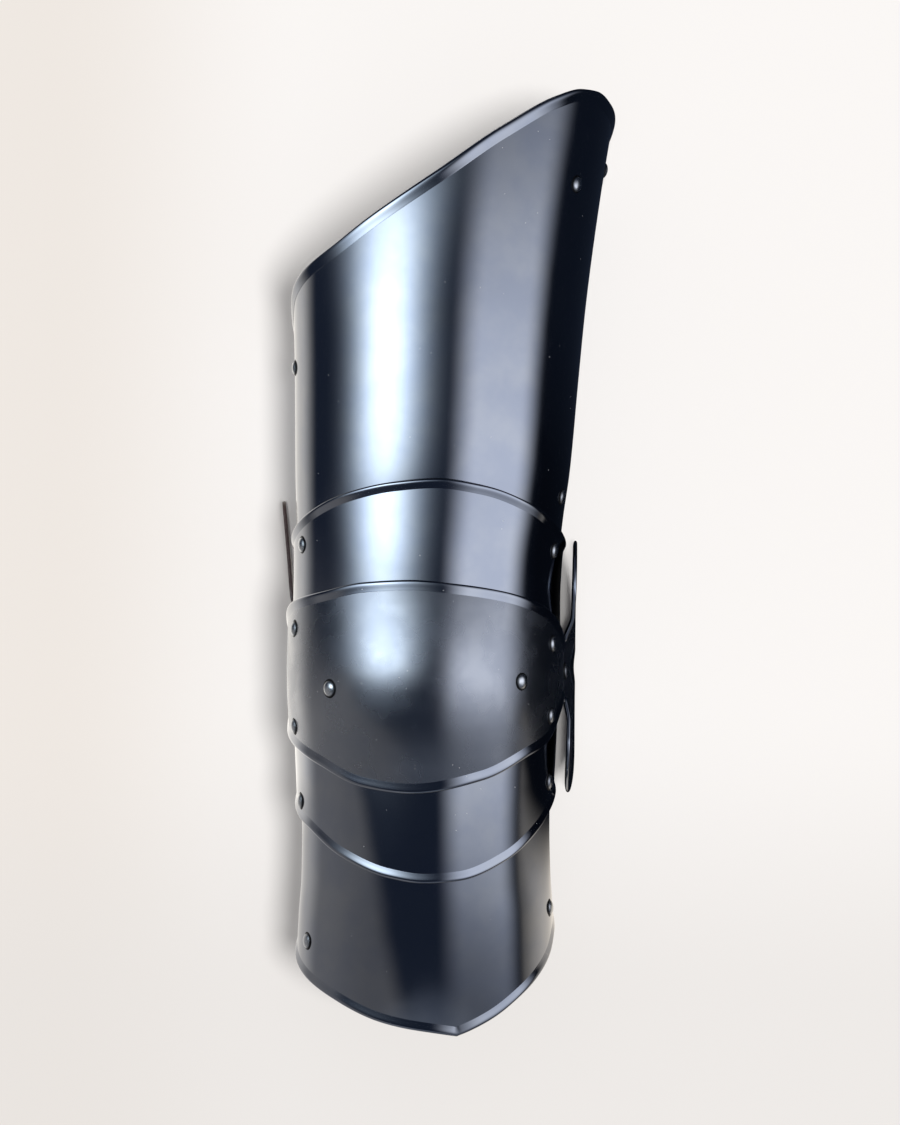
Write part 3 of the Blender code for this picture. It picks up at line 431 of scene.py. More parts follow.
def new_material(name, **fixed):
    """An empty node material, its shader with fixed values, and the object's coordinates."""
    material = bpy.data.materials.new(name)
    material.use_nodes = True
    tree = material.node_tree
    shader = tree.nodes["Principled BSDF"]
    for label, value in fixed.items():
        shader.inputs[label.replace("_", " ")].default_value = value
    place = node(tree, "ShaderNodeTexCoord").outputs["Object"]
    return material, tree, shader, place


def steel_material(name, color, cloud_color, roughness, wear, dustiness, ripple, scratch=0.5,
                   speck_spacing=0.0065):
    """Blackened steel: clouded colour, hairlines, worn edges, dust, a hammered ripple and painted shade round
    rivet heads.
    """
    material, tree, shader, place = new_material(name, Metallic=1.0)
    cloud = group(tree, clouding, Vector=place, Size=CLOUD_SIZE)["Mask"]
    wave = group(tree, clouding, Vector=place, Size=WAVE_SIZE, Seed=3.0)["Height"]
    hair = group(tree, scratches, Vector=place, Density=scratch)["Mask"]
    rubbed = group(tree, edge_wear, Vector=place, Worn=point_value(tree, "worn"), Amount=wear)["Mask"]
    specks = group(tree, dust, Vector=place, Spacing=speck_spacing, Speck=SPECK_SIZE)["Mask"]
    # Painted shade: the rivets keep a dark ring round the foot of each head in this value.
    soot, dusted = point_value(tree, "soot"), times(tree, specks, dustiness)

    coat = blend_colors(tree, cloud, color, cloud_color)
    for mask, layer in ((rubbed, BARE_STEEL), (soot, PAINTED_SHADE_BLACK), (dusted, DUST_GREY)):
        coat = blend_colors(tree, mask, coat, layer)
    tree.links.new(coat, shader.inputs["Base Color"])
    polish = spread(tree, cloud, 0.0, 1.0, roughness, roughness * CLOUD_DULLS)
    dulled = [times(tree, mask, dull) for mask, dull in zip((hair, rubbed, soot, dusted), DULLS)]
    tree.links.new(plus(tree, polish, *dulled, clamp=True), shader.inputs["Roughness"])
    tree.links.new(minus(tree, 1.0, dusted), shader.inputs["Metallic"])
    waves = node(tree, "ShaderNodeBump", {"Strength": 1.0, "Distance": ripple, "Height": wave})
    fine = node(tree, "ShaderNodeBump", {"Strength": 0.25, "Distance": SCRATCH_DEPTH, "Height": hair,
                                         "Normal": waves.outputs[0]})
    tree.links.new(fine.outputs[0], shader.inputs["Normal"])
    return material


steel_outside = steel_material("blackened_steel_polished", (0.235, 0.248, 0.275), (0.205, 0.222, 0.262),
                               roughness=0.085, wear=0.55, dustiness=0.5, ripple=0.00022)
steel_satin = steel_material("blackened_steel_satin", (0.245, 0.257, 0.282), (0.21, 0.224, 0.255),
                             roughness=0.22, wear=0.55, dustiness=0.9, ripple=0.0003, scratch=0.25,
                             speck_spacing=0.0042)
steel_inside = steel_material("blackened_steel_inside", (0.10, 0.098, 0.098), (0.07, 0.066, 0.064),
                              roughness=0.38, wear=0.5, dustiness=0.2, ripple=0.0005, scratch=1.0)
rivet_steel = steel_material("rivet_steel_domed", (0.46, 0.48, 0.50), (0.37, 0.385, 0.41),
                             roughness=0.20, wear=0.55, dustiness=0.3, ripple=0.0001)
buckle_iron = steel_material("buckle_iron_forged", (0.20, 0.19, 0.185), (0.13, 0.12, 0.115),
                             roughness=0.30, wear=0.6, dustiness=0.2, ripple=0.0003, scratch=0.8)
print("steels:", [material.name for material in bpy.data.materials if material.name.count("_") > 1])

# %% Leather
HIDE, HIDE_PALER = (0.030, 0.016, 0.016), (0.050, 0.024, 0.022)
CREASE_BROWN, BURNISHED = (0.014, 0.007, 0.007), (0.062, 0.040, 0.036)
PEBBLE_DEPTH = 0.00012


def leather_material():
    """Dark red-brown strap leather with a burnished edge."""
    material, tree, shader, place = new_material("strap_leather_grained", Metallic=0.0)
    grain = group(tree, leather_grain, Vector=place, Pebble=0.0011)
    cloud = group(tree, clouding, Vector=place, Size=0.012, Seed=1.0)["Mask"]
    rubbed = group(tree, edge_wear, Vector=place, Worn=point_value(tree, "worn"), Amount=0.5)["Mask"]
    hide = blend_colors(tree, cloud, HIDE, HIDE_PALER)
    hide = blend_colors(tree, grain["Creases"], hide, CREASE_BROWN)
    tree.links.new(blend_colors(tree, rubbed, hide, BURNISHED), shader.inputs["Base Color"])
    tree.links.new(spread(tree, cloud, 0.0, 1.0, 0.42, 0.60), shader.inputs["Roughness"])
    bump = node(tree, "ShaderNodeBump",
                {"Strength": 0.6, "Distance": PEBBLE_DEPTH, "Height": grain["Height"]})
    tree.links.new(bump.outputs[0], shader.inputs["Normal"])
    return material


leather = leather_material()
print("leather:", leather.name)

# %% [markdown]
# ## Five smooth plates
#
# A plate could be a bent plane with a Solidify modifier, but its edges are cut on curves,
# so the grid is laid out directly: columns round the leg, rows from one edge to the other.
# The grid becomes a closed sheet 1.2 mm thick with a small chamfer on every cut edge, the
# line that catches light on real sheet. Where an edge is rolled, the sheet stops inside
# the roll.

# %% Rows of a grid
BORDER = np.array([0.0, 0.35, 1.1, 2.2, 4.0])   # rows laid close together beside an edge
THIGH_ROLL, LAME_ROLL, COP_ROLL = 7.0, 5.6, 6.0
LEG_RADIUS, KNEE_RADIUS = 78.0, 80.0            # mean radii, for spacing columns in mm


def filled(low, high, count):
    """The rows beside both edges of every column, with even rows between them."""
    share = np.linspace(0, 1, count + 2)[1:-1]
    return np.concatenate([low, low[:, -1:] + (high[:, :1] - low[:, -1:]) * share, high], axis=1)


def spaced(length, count, inset=0.0):
    """Distances along a line, close together at both ends."""
    return filled((inset + BORDER)[None], (length - inset - BORDER[::-1])[None], count)[0]


def shared_angles(low, high):
    """Least and greatest angle that both edges of a plate reach."""
    return max(low["angle"][0], high["angle"][0]), min(low["angle"][-1], high["angle"][-1])


def column_lengths(sections, low, high, angles):
    """Each column's bottom and top, and by how much both edges slant for how long an arc."""
    bottom, top = (smooth(angles, edge["angle"], edge["y"]) for edge in (low, high))
    before, after = angles - 0.5, angles + 0.5
    arc = np.linalg.norm(shell_points(sections, top, after) - shell_points(sections, top, before), axis=-1)
    slants = [np.abs(smooth(after, edge["angle"], edge["y"]) - smooth(before, edge["angle"], edge["y"]))
              for edge in (low, high)]
    return bottom, top, arc, slants


def rows_between(sections, low, high, angles, rows, roll_low, roll_high):
    """Heights of the rows of every column, whose first and last lie inside the rolls."""
    bottom, top, arc, slants = column_lengths(sections, low, high, angles)
    lean_low, lean_high = (arc / np.hypot(arc, slant) for slant in slants)
    return filled(bottom[:, None] + (roll_low / 2 + BORDER) / lean_low[:, None],
                  top[:, None] - (roll_high / 2 + BORDER[::-1]) / lean_high[:, None], rows)


def wear_near_edges(shape, rolled_low, rolled_high):
    """1 on a cut edge, falling to 0 within a few millimetres; rolled edges count as half."""
    fall = np.exp(-BORDER / 1.2)
    across, along = np.zeros(shape), np.zeros(shape)
    across[:, :len(fall)] = fall * (0.5 if rolled_low else 1.0)
    across[:, -len(fall):] = fall[::-1] * (0.5 if rolled_high else 1.0)
    along[:len(fall)] = fall[:, None]
    along[-len(fall):] = fall[::-1, None]
    return np.maximum(across, along)


print("rows beside an edge, in mm:", BORDER.tolist())

# %% Making a piece
CHAMFER = 0.35


def in_scene(name, data):
    """An object at the origin that shows a mesh, a lamp or a camera."""
    thing = bpy.data.objects.new(name, data)
    bpy.context.scene.collection.objects.link(thing)
    return thing


def keep_values(mesh, label, values):
    """A value of every point, kept in the mesh under a name."""
    values = np.asarray(values, np.float32)
    kind, field = ("FLOAT_VECTOR", "vector") if values.ndim == 2 else ("FLOAT", "value")
    mesh.attributes.new(label, kind, "POINT").data.foreach_set(field, values.ravel())


def finish_faces(mesh, sharp):
    """Faces turned outwards and shaded smooth, with an edge where they meet at a sharp angle."""
    bm = bmesh.new()
    bm.from_mesh(mesh)
    bmesh.ops.recalc_face_normals(bm, faces=bm.faces)
    bm.to_mesh(mesh)
    bm.free()
    mesh.shade_smooth()
    mesh.set_sharp_from_angle(angle=math.radians(sharp))


def new_piece(name, points, faces, looks, worn, indices=None, sharp=50.0):
    """A mesh object in the frame from millimetre points."""
    mesh = bpy.data.meshes.new(name)
    mesh.from_pydata(row_frame(points).tolist(), [], faces)
    for look in looks:
        mesh.materials.append(look)
    if indices is not None:
        mesh.polygons.foreach_set("material_index", np.asarray(indices, np.int32))
    keep_values(mesh, "worn", worn)
    finish_faces(mesh, sharp)
    return in_scene(name, mesh)


def outward_normals(grid):
    """Unit normals of a grid, pointing away from the middle of the leg."""
    normal = unit(np.cross(np.gradient(grid, axis=1), np.gradient(grid, axis=0)))
    away = grid - np.array([0.0, 0.0, WIDEST_Z])
    away[..., 1] = 0.0
    return normal * np.sign((normal * away).sum(-1).mean())


def closed_sheet(name, grid, worn, outside):
    """A plate of the sheet's thickness whose outer face is the grid and wears its own finish."""
    columns, rows = grid.shape[:2]
    normal = outward_normals(grid)
    border = np.zeros((columns, rows), bool)
    border[[0, -1]] = border[:, [0, -1]] = True
    sunk = np.where(border, CHAMFER, 0.0)[..., None]
    points = np.concatenate([(grid - normal * sunk).reshape(-1, 3),
                             (grid - normal * (STEEL - sunk)).reshape(-1, 3)])
    index = np.arange(columns * rows).reshape(columns, rows)
    corners = [index[:-1, :-1], index[:-1, 1:], index[1:, 1:], index[1:, :-1]]
    quads = np.stack(corners, axis=-1).reshape(-1, 4)
    rim = np.concatenate([index[:, 0], index[-1, 1:], index[-2::-1, -1], index[0, -2:0:-1]])
    around = np.stack([rim, np.roll(rim, -1)], axis=-1)
    below = columns * rows
    sides = np.concatenate([around, around[:, ::-1] + below], axis=1)
    faces = np.concatenate([quads, quads[:, ::-1] + below, sides])
    indices = np.repeat([0, 1, 0], [len(quads), len(quads), len(sides)])
    sheet = new_piece(name + "_sheet", points, faces.tolist(), [outside, steel_inside],
                      np.tile(worn.ravel(), 2), indices)
    print(name, "sheet:", len(faces), "faces")
    return sheet


# %% Thigh plate, lames and greave
plates = {}   # the sheet of every plate, by its node, with the body it rides on
for name, body, sections, low, high, columns, rows, roll_low, roll_high in (
        ("thigh_plate", "thigh", THIGH, THIGH_BOTTOM, THIGH_TOP, 150, 70, 0.0, THIGH_ROLL),
        ("upper_lame", "upper_lame", UPPER_LAME, UPPER_LAME_BOTTOM, UPPER_LAME_TOP, 120, 26, 0.0, LAME_ROLL),
        ("lower_lame", "lower_lame", LOWER_LAME, LOWER_LAME_BOTTOM, LOWER_LAME_TOP, 120, 26, LAME_ROLL, 0.0),
        ("greave_plate", "greave", GREAVE, GREAVE_BOTTOM, GREAVE_TOP, 130, 36, LAME_ROLL, 0.0)):
    first, last = shared_angles(low, high)
    per_mm = math.degrees(1.0 / LEG_RADIUS)
    angles = first + spaced((last - first) / per_mm, columns) * per_mm
    y = rows_between(sections, low, high, angles, rows, roll_low, roll_high)
    worn = wear_near_edges(y.shape, bool(roll_low), bool(roll_high))
    grid = shell_points(sections, y, angles[:, None])
    plates[name] = closed_sheet(name, grid, worn, steel_outside), body

# %% [markdown]
# ## The knee cop and its wing
#
# The cop is one piece of steel: a dome over the knee that narrows to a neck at the outer
# side and spreads again into a fan, which shields the tendons behind the joint. Its grid
# runs round the dome, across the neck and then outwards through the fan.

# %% The fan
FAN_Y, FAN_Z, FAN_ROOT, FAN_SPREAD, NECK_ANGLE = 4.0, 54.0, 16.0, 112.0, 7.0
NECK_BEND, PINCH_DEPTH, PINCH_SPREAD = 16.0, 22.0, 22.0   # the bend, and how the heart is pinched
WING_X, WING_LEAN = 83.3, 0.039                           # the fan's plane, leaning along the leg
BACK_X, BACK_LEAN, BACK_START, BACK_LENGTH = 3.8, -0.03, 12.0, 60.0   # its flare to the back
WING_REACH = table(
    "direction  reach",
    (-112.0, 42.0), (-99.0, 61.0), (-80.0, 73.0), (-55.0, 68.5), (-25.0, 53.5), (0.0, 47.0),
    (25.0, 53.0), (55.0, 68.0), (80.0, 75.5), (99.0, 64.5), (112.0, 45.0))


def wing_points(reach, direction):
    """Points of the fan; direction 0 points to the back and 90 to the hip."""
    turn = np.radians(direction)
    y, z = FAN_Y + reach * np.sin(turn), FAN_Z - reach * np.cos(turn)
    root = shell_points(COP, FAN_Y, 0.0)[0] + 0.2
    pinch = PINCH_DEPTH * np.exp(-(direction / PINCH_SPREAD) ** 2)
    out = smoothstep((reach - FAN_ROOT) / (NECK_BEND + pinch))
    back = smoothstep((FAN_Z + BACK_START - z) / BACK_LENGTH)
    plane = WING_X + WING_LEAN * y + (BACK_X + BACK_LEAN * y) * back
    return np.stack([root + (plane - root) * out, y, z], axis=-1)


def wing_reach(direction):
    return smooth(direction, WING_REACH["direction"], WING_REACH["reach"])


def fan_middle(share):
    """Reach of the fan's middle, from the neck at share 0 to the edge at share 1."""
    return FAN_ROOT + (wing_reach(0.0) - FAN_ROOT) * share


def inside_wing(share, direction):
    """Reach towards a direction, from the neck at share 0 to the rolled rim at share 1."""
    return FAN_ROOT + (wing_reach(direction) - COP_ROLL / 2 - FAN_ROOT) * share


def fan_column(share, rows):
    """A column of the fan, an arc round the neck."""
    middle = fan_middle(share)
    distances = spaced(middle * math.radians(2 * FAN_SPREAD), rows, COP_ROLL / 2)
    direction = np.degrees(distances / middle) - FAN_SPREAD
    return wing_points(inside_wing(share, direction), direction)


print("the fan reaches", WING_REACH["reach"].max(), "mm from its middle")

# %% Dome, neck and fan in one grid


def cop_grid(columns, rows, neck_columns, fan_columns):
    per_mm = math.degrees(1.0 / KNEE_RADIUS)
    far = COP_TOP["angle"][-1]
    angles = far - spaced((far - NECK_ANGLE) / per_mm, columns)[:-len(BORDER) + 1] * per_mm
    y = rows_between(COP, COP_BOTTOM, COP_TOP, angles, rows, COP_ROLL, COP_ROLL)
    dome = shell_points(COP, y, angles[:, None])
    shares = np.concatenate([np.linspace(0, 1, fan_columns)[:-1], [0.985, 1.0]])
    fan = np.array([fan_column(share, rows) for share in shares])
    neck = [dome[-1] + (fan[0] - dome[-1]) * share for share in np.linspace(0, 1, neck_columns + 2)[1:-1]]
    return np.concatenate([dome, np.array(neck), fan])


grid = cop_grid(columns=120, rows=56, neck_columns=6, fan_columns=22)
worn = wear_near_edges(grid.shape[:2], True, True)
worn[-len(BORDER):] = 0.5
plates["knee_cop"] = closed_sheet("knee_cop", grid, worn, steel_satin), "cop"

# %% [markdown]
# ## Rolled rims
#
# The free edge of a plate is turned up and rolled over, which stiffens it and guides a
# blade away. The roll climbs gently from the plate and drops sharply at the edge, so each
# rim shows one broad light and one thin dark line. It keeps its section all the way, so a
# Geometry Nodes tree sweeps the section along a line. The line carries the plate's own
# normal, so the section never twists, and a swell that closes it softly at both ends.

# %% The sweeping tree


def finish_tree(tree, geometry, material, target):
    """Every tree ends in real faces that wear a material."""
    real = node(tree, "GeometryNodeRealizeInstances", {"Geometry": geometry}).outputs[0]
    painted = node(tree, "GeometryNodeSetMaterial", {"Geometry": real, "Material": material}).outputs[0]
    tree.links.new(painted, target)


def attribute(tree, name, kind="FLOAT"):
    return node(tree, "GeometryNodeInputNamedAttribute", {"Name": name}, data_type=kind).outputs["Attribute"]


def curve_with_facing(tree, line):
    """A line as a curve whose normals are the facing that its points carry."""
    curve = node(tree, "GeometryNodeMeshToCurve", {"Mesh": line}).outputs[0]
    return node(tree, "GeometryNodeSetCurveNormal",
                {"Curve": curve, "Normal": attribute(tree, "facing", "FLOAT_VECTOR")},
                mode="FREE").outputs[0]


def worn_all_over(tree, geometry, amount):
    """Every point keeps the same wear, for the edge wear of its material."""
    return node(tree, "GeometryNodeStoreNamedAttribute",
                {"Geometry": geometry, "Name": "worn", "Value": amount}, data_type="FLOAT",
                domain="POINT").outputs[0]


sweep, given, put = new_tree(
    "Sweep a section along a line", "GeometryNodeTree",
    [("Line", "Geometry"), ("Section", "Object"), ("Half width", "Float", 0.003),
     ("Half height", "Float", 0.002), ("Worn", "Float", 0.5), ("Material", "Material")],
    [("Mesh", "Geometry")])
section = node(sweep, "GeometryNodeObjectInfo", {"Object": given["Section"]}).outputs["Geometry"]
section = node(sweep, "GeometryNodeMeshToCurve", {"Mesh": section}).outputs[0]
size = node(sweep, "ShaderNodeCombineXYZ", {0: given["Half height"], 1: given["Half width"], 2: 1.0})
section = node(sweep, "GeometryNodeTransform", {"Geometry": section, "Scale": size.outputs[0]}).outputs[0]
skin = node(sweep, "GeometryNodeCurveToMesh",
            {"Curve": curve_with_facing(sweep, given["Line"]), "Profile Curve": section,
             "Scale": attribute(sweep, "swell"), "Fill Caps": True}).outputs[0]
finish_tree(sweep, worn_all_over(sweep, skin, given["Worn"]), given["Material"], put["Mesh"])
print("trees:", sweep.name)

# %% Running a tree on a line or on points


def carried(name, points, facings, edges=(), **more):
    """A mesh of points that carry a facing, and more values that a tree reads by name."""
    mesh = bpy.data.meshes.new(name)
    mesh.from_pydata(row_frame(points).tolist(), list(edges), [])
    for label, values in {"facing": facings, **more}.items():
        keep_values(mesh, label, values)
    return in_scene(name, mesh)


def grown(piece, tree, sharp=50.0, **values):
    """The piece remade by a tree as a plain mesh, with normals outward and no modifier."""
    modifier = piece.modifiers.new(tree.name, "NODES")
    modifier.node_group = tree
    for item in tree.interface.items_tree:
        label = item.name.lower().replace(" ", "_")
        if item.in_out == "INPUT" and label in values:
            modifier[item.identifier] = values[label]
    depsgraph = bpy.context.evaluated_depsgraph_get()
    mesh = bpy.data.meshes.new_from_object(piece.evaluated_get(depsgraph), preserve_all_data_layers=True,
                                           depsgraph=depsgraph)
    piece.modifiers.remove(modifier)
    finish_faces(mesh, sharp)
    old, piece.data = piece.data, mesh
    bpy.data.meshes.remove(old)
    mesh.name = piece.name
    return piece


def chain(first, last, closed=False):
    """Edges that join the points from first to last in a row, or in a ring."""
    return [(i, i + 1) for i in range(first, last)] + [(last, first)] * closed

# %% Sections and the run of a roll
ROLL_RISE = 0.2      # height of a roll over its plate, for its width
END_SWELL = 0.45     # length over which a roll closes at its ends, for its width
ROLL_TOP = table(
    "from_edge  height",
    (0.0, 0.0), (0.012, 0.28), (0.035, 0.52), (0.075, 0.75), (0.13, 0.91), (0.19, 0.985), (0.25, 1.0),
    (0.33, 0.955), (0.45, 0.8), (0.6, 0.56), (0.75, 0.34), (0.88, 0.15), (0.96, 0.045), (1.0, -0.02))


def section_shape(name, outline):
    """A closed outline of (across, height), 1 from its middle to each side, for the sweeping tree.

    The tree turns the outline's own x to the line's facing, so the height goes there."""
    mesh = bpy.data.meshes.new(name)
    mesh.from_pydata([(height, across, 0.0) for across, height in outline],
                     chain(0, len(outline) - 1, closed=True), [])
    return in_scene(name, mesh)


turn = np.radians(np.arange(-18.0, -170.0, -18.0))
roll_section = section_shape("roll_section", list(zip(2 * ROLL_TOP["from_edge"] - 1, ROLL_TOP["height"]))
                             + list(zip(np.cos(turn), np.sin(turn))))
turn = np.radians(np.arange(14) * 360 / 14)
oval_section = section_shape("oval_section", list(zip(np.cos(turn), np.sin(turn))))


def lengths_along(points):
    """Distance of every point of a line from its start."""
    return np.concatenate([[0.0], np.cumsum(np.linalg.norm(np.diff(points, axis=0), axis=1))])


def quarter_round(left, least):
    """Height of a quarter circle that has closed where nothing is left."""
    return np.sqrt(np.clip(1 - (1 - np.clip(left, 0.0, 1.0)) ** 2, least, 1.0))


def rolled(name, body, points, normals, width, turned_over=False):
    """A rolled rim along a line on a plate's outer face, half its width in from the edge."""
    if turned_over:
        points, normals = points[::-1], normals[::-1]
    rise = ROLL_RISE * width
    centre = points + normals * (rise - STEEL) / 2
    along = lengths_along(centre)
    swell = quarter_round(np.minimum(along, along[-1] - along) / (width * END_SWELL), 0.02)
    line = carried(name, centre, normals, chain(0, len(centre) - 1), swell=swell)
    rim = grown(line, sweep, half_width=width / 2 * MM, half_height=(rise + STEEL) / 2 * MM,
                section=roll_section, worn=0.55, material=steel_outside)
    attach(rim, body)
    print(name, "is", round(float(along[-1])), "mm long")


# %% Rims of the plates
END_STEPS = np.array([0.0, 0.05, 0.15, 0.3, 0.55, 0.9, 1.3, 1.9])


def edge_angles(first, last, step=1.2):
    """Angles along an edge, closer together at both ends."""
    middle = np.linspace(first + END_STEPS[-1], last - END_STEPS[-1], int((last - first) / step))
    return np.concatenate([first + END_STEPS[:-1], middle, last - END_STEPS[-2::-1]])


def rim_on_shell(name, body, sections, low, high, width, upper, corner=None):
    """A rim on a plate's upper or lower edge, with a point of its line on the corner's angle."""
    angles = edge_angles(*shared_angles(low, high))
    if corner is not None:
        angles[np.abs(angles - corner).argmin()] = corner
    bottom, top, arc, slants = column_lengths(sections, low, high, angles)
    inset = width / 2 * np.hypot(arc, slants[1 if upper else 0]) / arc
    y = top - inset if upper else bottom + inset
    skin, facing = shell_points(sections, y, angles), shell_normals(sections, y, angles)
    rolled(name, body, skin, facing, width, turned_over=upper)


rim_on_shell("thigh_rim", "thigh", THIGH, THIGH_BOTTOM, THIGH_TOP, THIGH_ROLL, True)
rim_on_shell("upper_lame_rim", "upper_lame", UPPER_LAME, UPPER_LAME_BOTTOM, UPPER_LAME_TOP, LAME_ROLL, True)
rim_on_shell("lower_lame_rim", "lower_lame", LOWER_LAME, LOWER_LAME_BOTTOM, LOWER_LAME_TOP, LAME_ROLL, False)
rim_on_shell("greave_rim", "greave", GREAVE, GREAVE_BOTTOM, GREAVE_TOP, LAME_ROLL, False, GREAVE_POINT)
rim_on_shell("knee_upper_rim", "cop", COP, COP_BOTTOM, COP_TOP, COP_ROLL, True)
rim_on_shell("knee_lower_rim", "cop", COP, COP_BOTTOM, COP_TOP, COP_ROLL, False)

# %% Rim of the wing
SIDE_POINTS, ROUND_POINTS, CORNER_PASSES = 24, 150, 3


def wing_normals(reach, direction, step):
    """Outward normals of the fan."""
    normal = np.cross(wing_points(reach + step, direction) - wing_points(reach - step, direction),
                      wing_points(reach, direction + step) - wing_points(reach, direction - step))
    return unit(normal * np.sign(normal[:, :1].mean()))


def wing_rim_line():
    """Line inside the fan's edge: out along one front edge, round the fan and back."""
    shares = np.linspace(0.0, 1.0, SIDE_POINTS)
    inset = np.degrees(COP_ROLL / 2 / fan_middle(shares))
    corner = FAN_SPREAD - inset[-1]
    directions = np.concatenate([inset - FAN_SPREAD, np.linspace(-corner, corner, ROUND_POINTS)[1:-1],
                                 (FAN_SPREAD - inset)[::-1]])
    shares = np.concatenate([shares, np.ones(ROUND_POINTS - 2), shares[::-1]])
    reach = inside_wing(shares, directions)
    for _ in range(CORNER_PASSES):   # the roll goes round the fan's corners in a bend
        reach[1:-1] = (reach[:-2] + 2 * reach[1:-1] + reach[2:]) / 4
        directions[1:-1] = (directions[:-2] + 2 * directions[1:-1] + directions[2:]) / 4
    return wing_points(reach, directions), wing_normals(reach, directions, 0.5)


line, normals = wing_rim_line()
rolled("knee_wing_rim", "cop", line, normals, COP_ROLL, turned_over=True)
bpy.data.objects.remove(roll_section)

# %% [markdown]
# ## Handing the plates to the frame
#
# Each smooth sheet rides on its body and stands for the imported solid, which stays hidden
# for the physics.

# %% Plates take the place of their solids
for solid, (sheet, body) in plates.items():
    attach(sheet, body)
    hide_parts(solid)
print("plates:", sorted(plates))

# %% [markdown]
# ## Rivets
#
# A rivet has a domed head, a shank and a peened end that grips a burr, a small washer.
# All of them share that shape and differ only in how many layers they go through. One is
# turned as a lathe shape, and a Geometry Nodes tree sets a copy on every marked point,
# leans it to the plate and stretches its shank to reach the back. The shape also keeps a
# painted shade: a dark, dull ring round the foot of each head, where the head shades the plate.

# %% One rivet, turned
RIVET_SIDES = 26
# The last column paints shade: it rises to 1 on the lower side and skirt of the head, for a dark ring where
# it meets the plate.
RIVET = table(
    "radius  height  below  soot",
    (0.0, 2.10, 0.0, 0.0), (0.75, 2.07, 0.0, 0.0), (1.6, 1.95, 0.0, 0.0), (2.45, 1.71, 0.0, 0.0),
    (3.2, 1.37, 0.0, 0.0), (3.8, 0.96, 0.0, 0.25), (4.2, 0.55, 0.0, 0.8), (4.4, 0.22, 0.0, 1.0),
    (5.0, 0.03, 0.0, 1.0), (5.25, -0.12, 0.0, 1.0), (4.4, -0.2, 0.0, 1.0), (1.6, -0.2, 0.0, 0.0),
    (1.6, 0.0, 1.0, 0.0), (3.3, 0.0, 1.0, 0.0), (3.6, -0.15, 1.0, 0.0), (3.6, -0.6, 1.0, 0.0),
    (3.4, -0.8, 1.0, 0.0), (2.3, -0.8, 1.0, 0.0), (2.2, -1.1, 1.0, 0.0), (1.7, -1.45, 1.0, 0.0),
    (0.9, -1.65, 1.0, 0.0), (0.0, -1.7, 1.0, 0.0))


def lathe_shape(name, profile, sides):
    """A closed lathe shape; rows with below 1 belong to the far end of the shank."""
    turn = np.arange(sides) * 2 * np.pi / sides
    circle = np.stack([np.cos(turn), np.sin(turn), np.zeros(sides)], axis=-1)
    up = np.array([0.0, 0.0, 1.0])
    radius, height = profile["radius"], profile["height"]
    rings = [circle * r + up * h for r, h in zip(radius[1:-1], height[1:-1])]
    points = np.concatenate([[up * height[0]], *rings, [up * height[-1]]])
    index = 1 + np.arange(len(rings) * sides).reshape(len(rings), sides)
    beside = np.roll(index, -1, axis=1)
    walls = np.stack([index[:-1], index[1:], beside[1:], beside[:-1]], axis=-1).reshape(-1, 4)
    caps = [(0, a, b) for a, b in zip(index[0], beside[0])]
    caps += [(len(points) - 1, b, a) for a, b in zip(index[-1], beside[-1])]
    mesh = bpy.data.meshes.new(name)
    mesh.from_pydata((points * MM).tolist(), [], walls.tolist() + caps)
    for label in ("below", "soot"):
        rows = profile[label]
        keep_values(mesh, label, np.concatenate([rows[:1], np.repeat(rows[1:-1], sides), rows[-1:]]))
    return in_scene(name, mesh)


one_rivet = lathe_shape("one_rivet", RIVET, RIVET_SIDES)
print("a rivet has", len(one_rivet.data.polygons), "faces")

# %% The riveting tree
riveting, given, put = new_tree(
    "Rivets on points", "GeometryNodeTree",
    [("Points", "Geometry"), ("Rivet", "Object"), ("Uneven", "Float", 0.03), ("Seed", "Int", 7),
     ("Worn", "Float", 0.35), ("Material", "Material")],
    [("Mesh", "Geometry")])
facing = attribute(riveting, "facing", "FLOAT_VECTOR")
turn = node(riveting, "FunctionNodeAlignRotationToVector", {"Vector": facing}, axis="Z").outputs[0]
shape = node(riveting, "GeometryNodeObjectInfo", {"Object": given["Rivet"]}).outputs["Geometry"]
least, most = minus(riveting, 1.0, given["Uneven"]), plus(riveting, 1.0, given["Uneven"])
broad = node(riveting, "FunctionNodeRandomValue", {2: least, 3: most, "Seed": given["Seed"]},
             data_type="FLOAT").outputs[1]
size = node(riveting, "ShaderNodeCombineXYZ", {0: broad, 1: broad, 2: 1.0}).outputs[0]
copies = node(riveting, "GeometryNodeInstanceOnPoints",
              {"Points": given["Points"], "Instance": shape, "Rotation": turn, "Scale": size}).outputs[0]
copies = node(riveting, "GeometryNodeRealizeInstances", {"Geometry": copies}).outputs[0]
drop = times(riveting, attribute(riveting, "grip"), attribute(riveting, "below"))
offset = scaled(riveting, facing, times(riveting, drop, -1.0))
copies = node(riveting, "GeometryNodeSetPosition", {"Geometry": copies, "Offset": offset}).outputs[0]
copies = worn_all_over(riveting, copies, given["Worn"])
finish_tree(riveting, copies, given["Material"], put["Mesh"])

# %% [markdown]
# ## Where the rivets sit
#
# Pairs at the sides carry the sliding plates. They are fixed in the outer plate and loose
# in the one under it. Two at the hip and two on the cop go through their plate alone, and
# the rest hold the straps.

